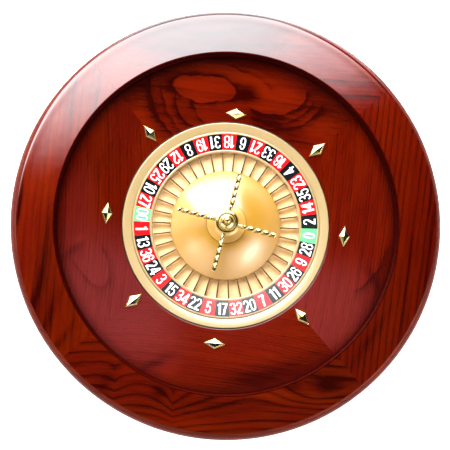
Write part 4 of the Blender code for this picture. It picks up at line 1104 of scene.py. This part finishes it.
# the dark things stand between low and high; the backdrop behind the window side is the brightest
low = wt.nodes.new("ShaderNodeMapRange")
low.interpolation_type = "SMOOTHSTEP"
wt.links.new(sep.outputs[2], low.inputs[0])
low.inputs[1].default_value = 0.30
low.inputs[2].default_value = 0.45
dim = wnode("ShaderNodeMath", "MULTIPLY_ADD", _0=wnode("ShaderNodeMath", "ADD", _0=dim, _1=-1.0), _1=low.outputs[0], _2=1.0)
behind = wt.nodes.new("ShaderNodeMapRange")
behind.interpolation_type = "SMOOTHSTEP"
wt.links.new(wnode("ShaderNodeMath", "COSINE", _0=wnode("ShaderNodeMath", "ADD", _0=azim, _1=-math.radians(115.0) - TURN)), behind.inputs[0])
behind.inputs[1].default_value = math.cos(math.radians(95.0))
behind.inputs[2].default_value = math.cos(math.radians(50.0))
boost = wnode("ShaderNodeMath", "MULTIPLY", _0=behind.outputs[0], _1=wnode("ShaderNodeMath", "MULTIPLY_ADD", _0=low.outputs[0], _1=-1.6, _2=1.6))
dim = wnode("ShaderNodeMath", "MULTIPLY", _0=dim, _1=wnode("ShaderNodeMath", "ADD", _0=boost, _1=1.0))
# and a pale wall stands opposite the window
front = wt.nodes.new("ShaderNodeMapRange")
front.interpolation_type = "SMOOTHSTEP"
wt.links.new(wnode("ShaderNodeMath", "COSINE", _0=wnode("ShaderNodeMath", "ADD", _0=azim, _1=-math.radians(-102.0) - TURN)), front.inputs[0])
front.inputs[1].default_value = math.cos(math.radians(110.0))
front.inputs[2].default_value = math.cos(math.radians(65.0))
high = wt.nodes.new("ShaderNodeMapRange")
high.interpolation_type = "SMOOTHSTEP"
wt.links.new(sep.outputs[2], high.inputs[0])
high.inputs[1].default_value = 0.86
high.inputs[2].default_value = 0.70
pale = wnode("ShaderNodeMath", "MULTIPLY", _0=front.outputs[0], _1=wnode("ShaderNodeMath", "MULTIPLY", _0=high.outputs[0], _1=low.outputs[0]))
wall_light = wnode("ShaderNodeMath", "MULTIPLY", _0=wnode("ShaderNodeMath", "MULTIPLY_ADD", _0=pale, _1=1.9, _2=rampn.outputs[0]), _1=dim)
bg_light = wt.nodes.new("ShaderNodeBackground")
wt.links.new(wall_light, bg_light.inputs[1])
bg_light.inputs[0].default_value = (1.0, 1.0, 1.0, 1)
bg_seen = wt.nodes.new("ShaderNodeBackground")
bg_seen.inputs[0].default_value = (0.97, 0.97, 0.97, 1)
path = wt.nodes.new("ShaderNodeLightPath")
mixs = wt.nodes.new("ShaderNodeMixShader")
wt.links.new(path.outputs["Is Camera Ray"], mixs.inputs[0])
wt.links.new(bg_light.outputs[0], mixs.inputs[1])
wt.links.new(bg_seen.outputs[0], mixs.inputs[2])
wout = wt.nodes.new("ShaderNodeOutputWorld")
wt.links.new(mixs.outputs[0], wout.inputs[0])

scene.view_settings.view_transform = "Standard"
scene.view_settings.look = "None"
scene.view_settings.exposure = 0.0
scene.view_settings.gamma = 1.0

# ------------------------------------------------------------------ camera: almost straight down, from a little in front
VIEW_CAM = Vector((-0.0787, -0.2160, 2.2340))
VIEW_AIM = Vector((-0.00091, -0.00015, 0.0460))
turn = Matrix.Rotation(TURN, 3, "Z")
cam_data = bpy.data.cameras.new("camera")
cam_data.sensor_width = 36.0
cam_data.lens = 1882.0 * 36.0 / 450.0
cam_data.clip_start = 0.05
cam_data.clip_end = 50.0
cam = bpy.data.objects.new("camera", cam_data)
scene.collection.objects.link(cam)
eye, aim = turn @ VIEW_CAM, turn @ VIEW_AIM
back = (eye - aim).normalized()
up = turn @ Vector((0, 1, 0))
right = up.cross(back).normalized()
up = back.cross(right).normalized()
cam.matrix_world = Matrix(((right.x, up.x, back.x, eye.x), (right.y, up.y, back.y, eye.y), (right.z, up.z, back.z, eye.z), (0, 0, 0, 1)))
scene.camera = cam

lo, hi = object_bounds()
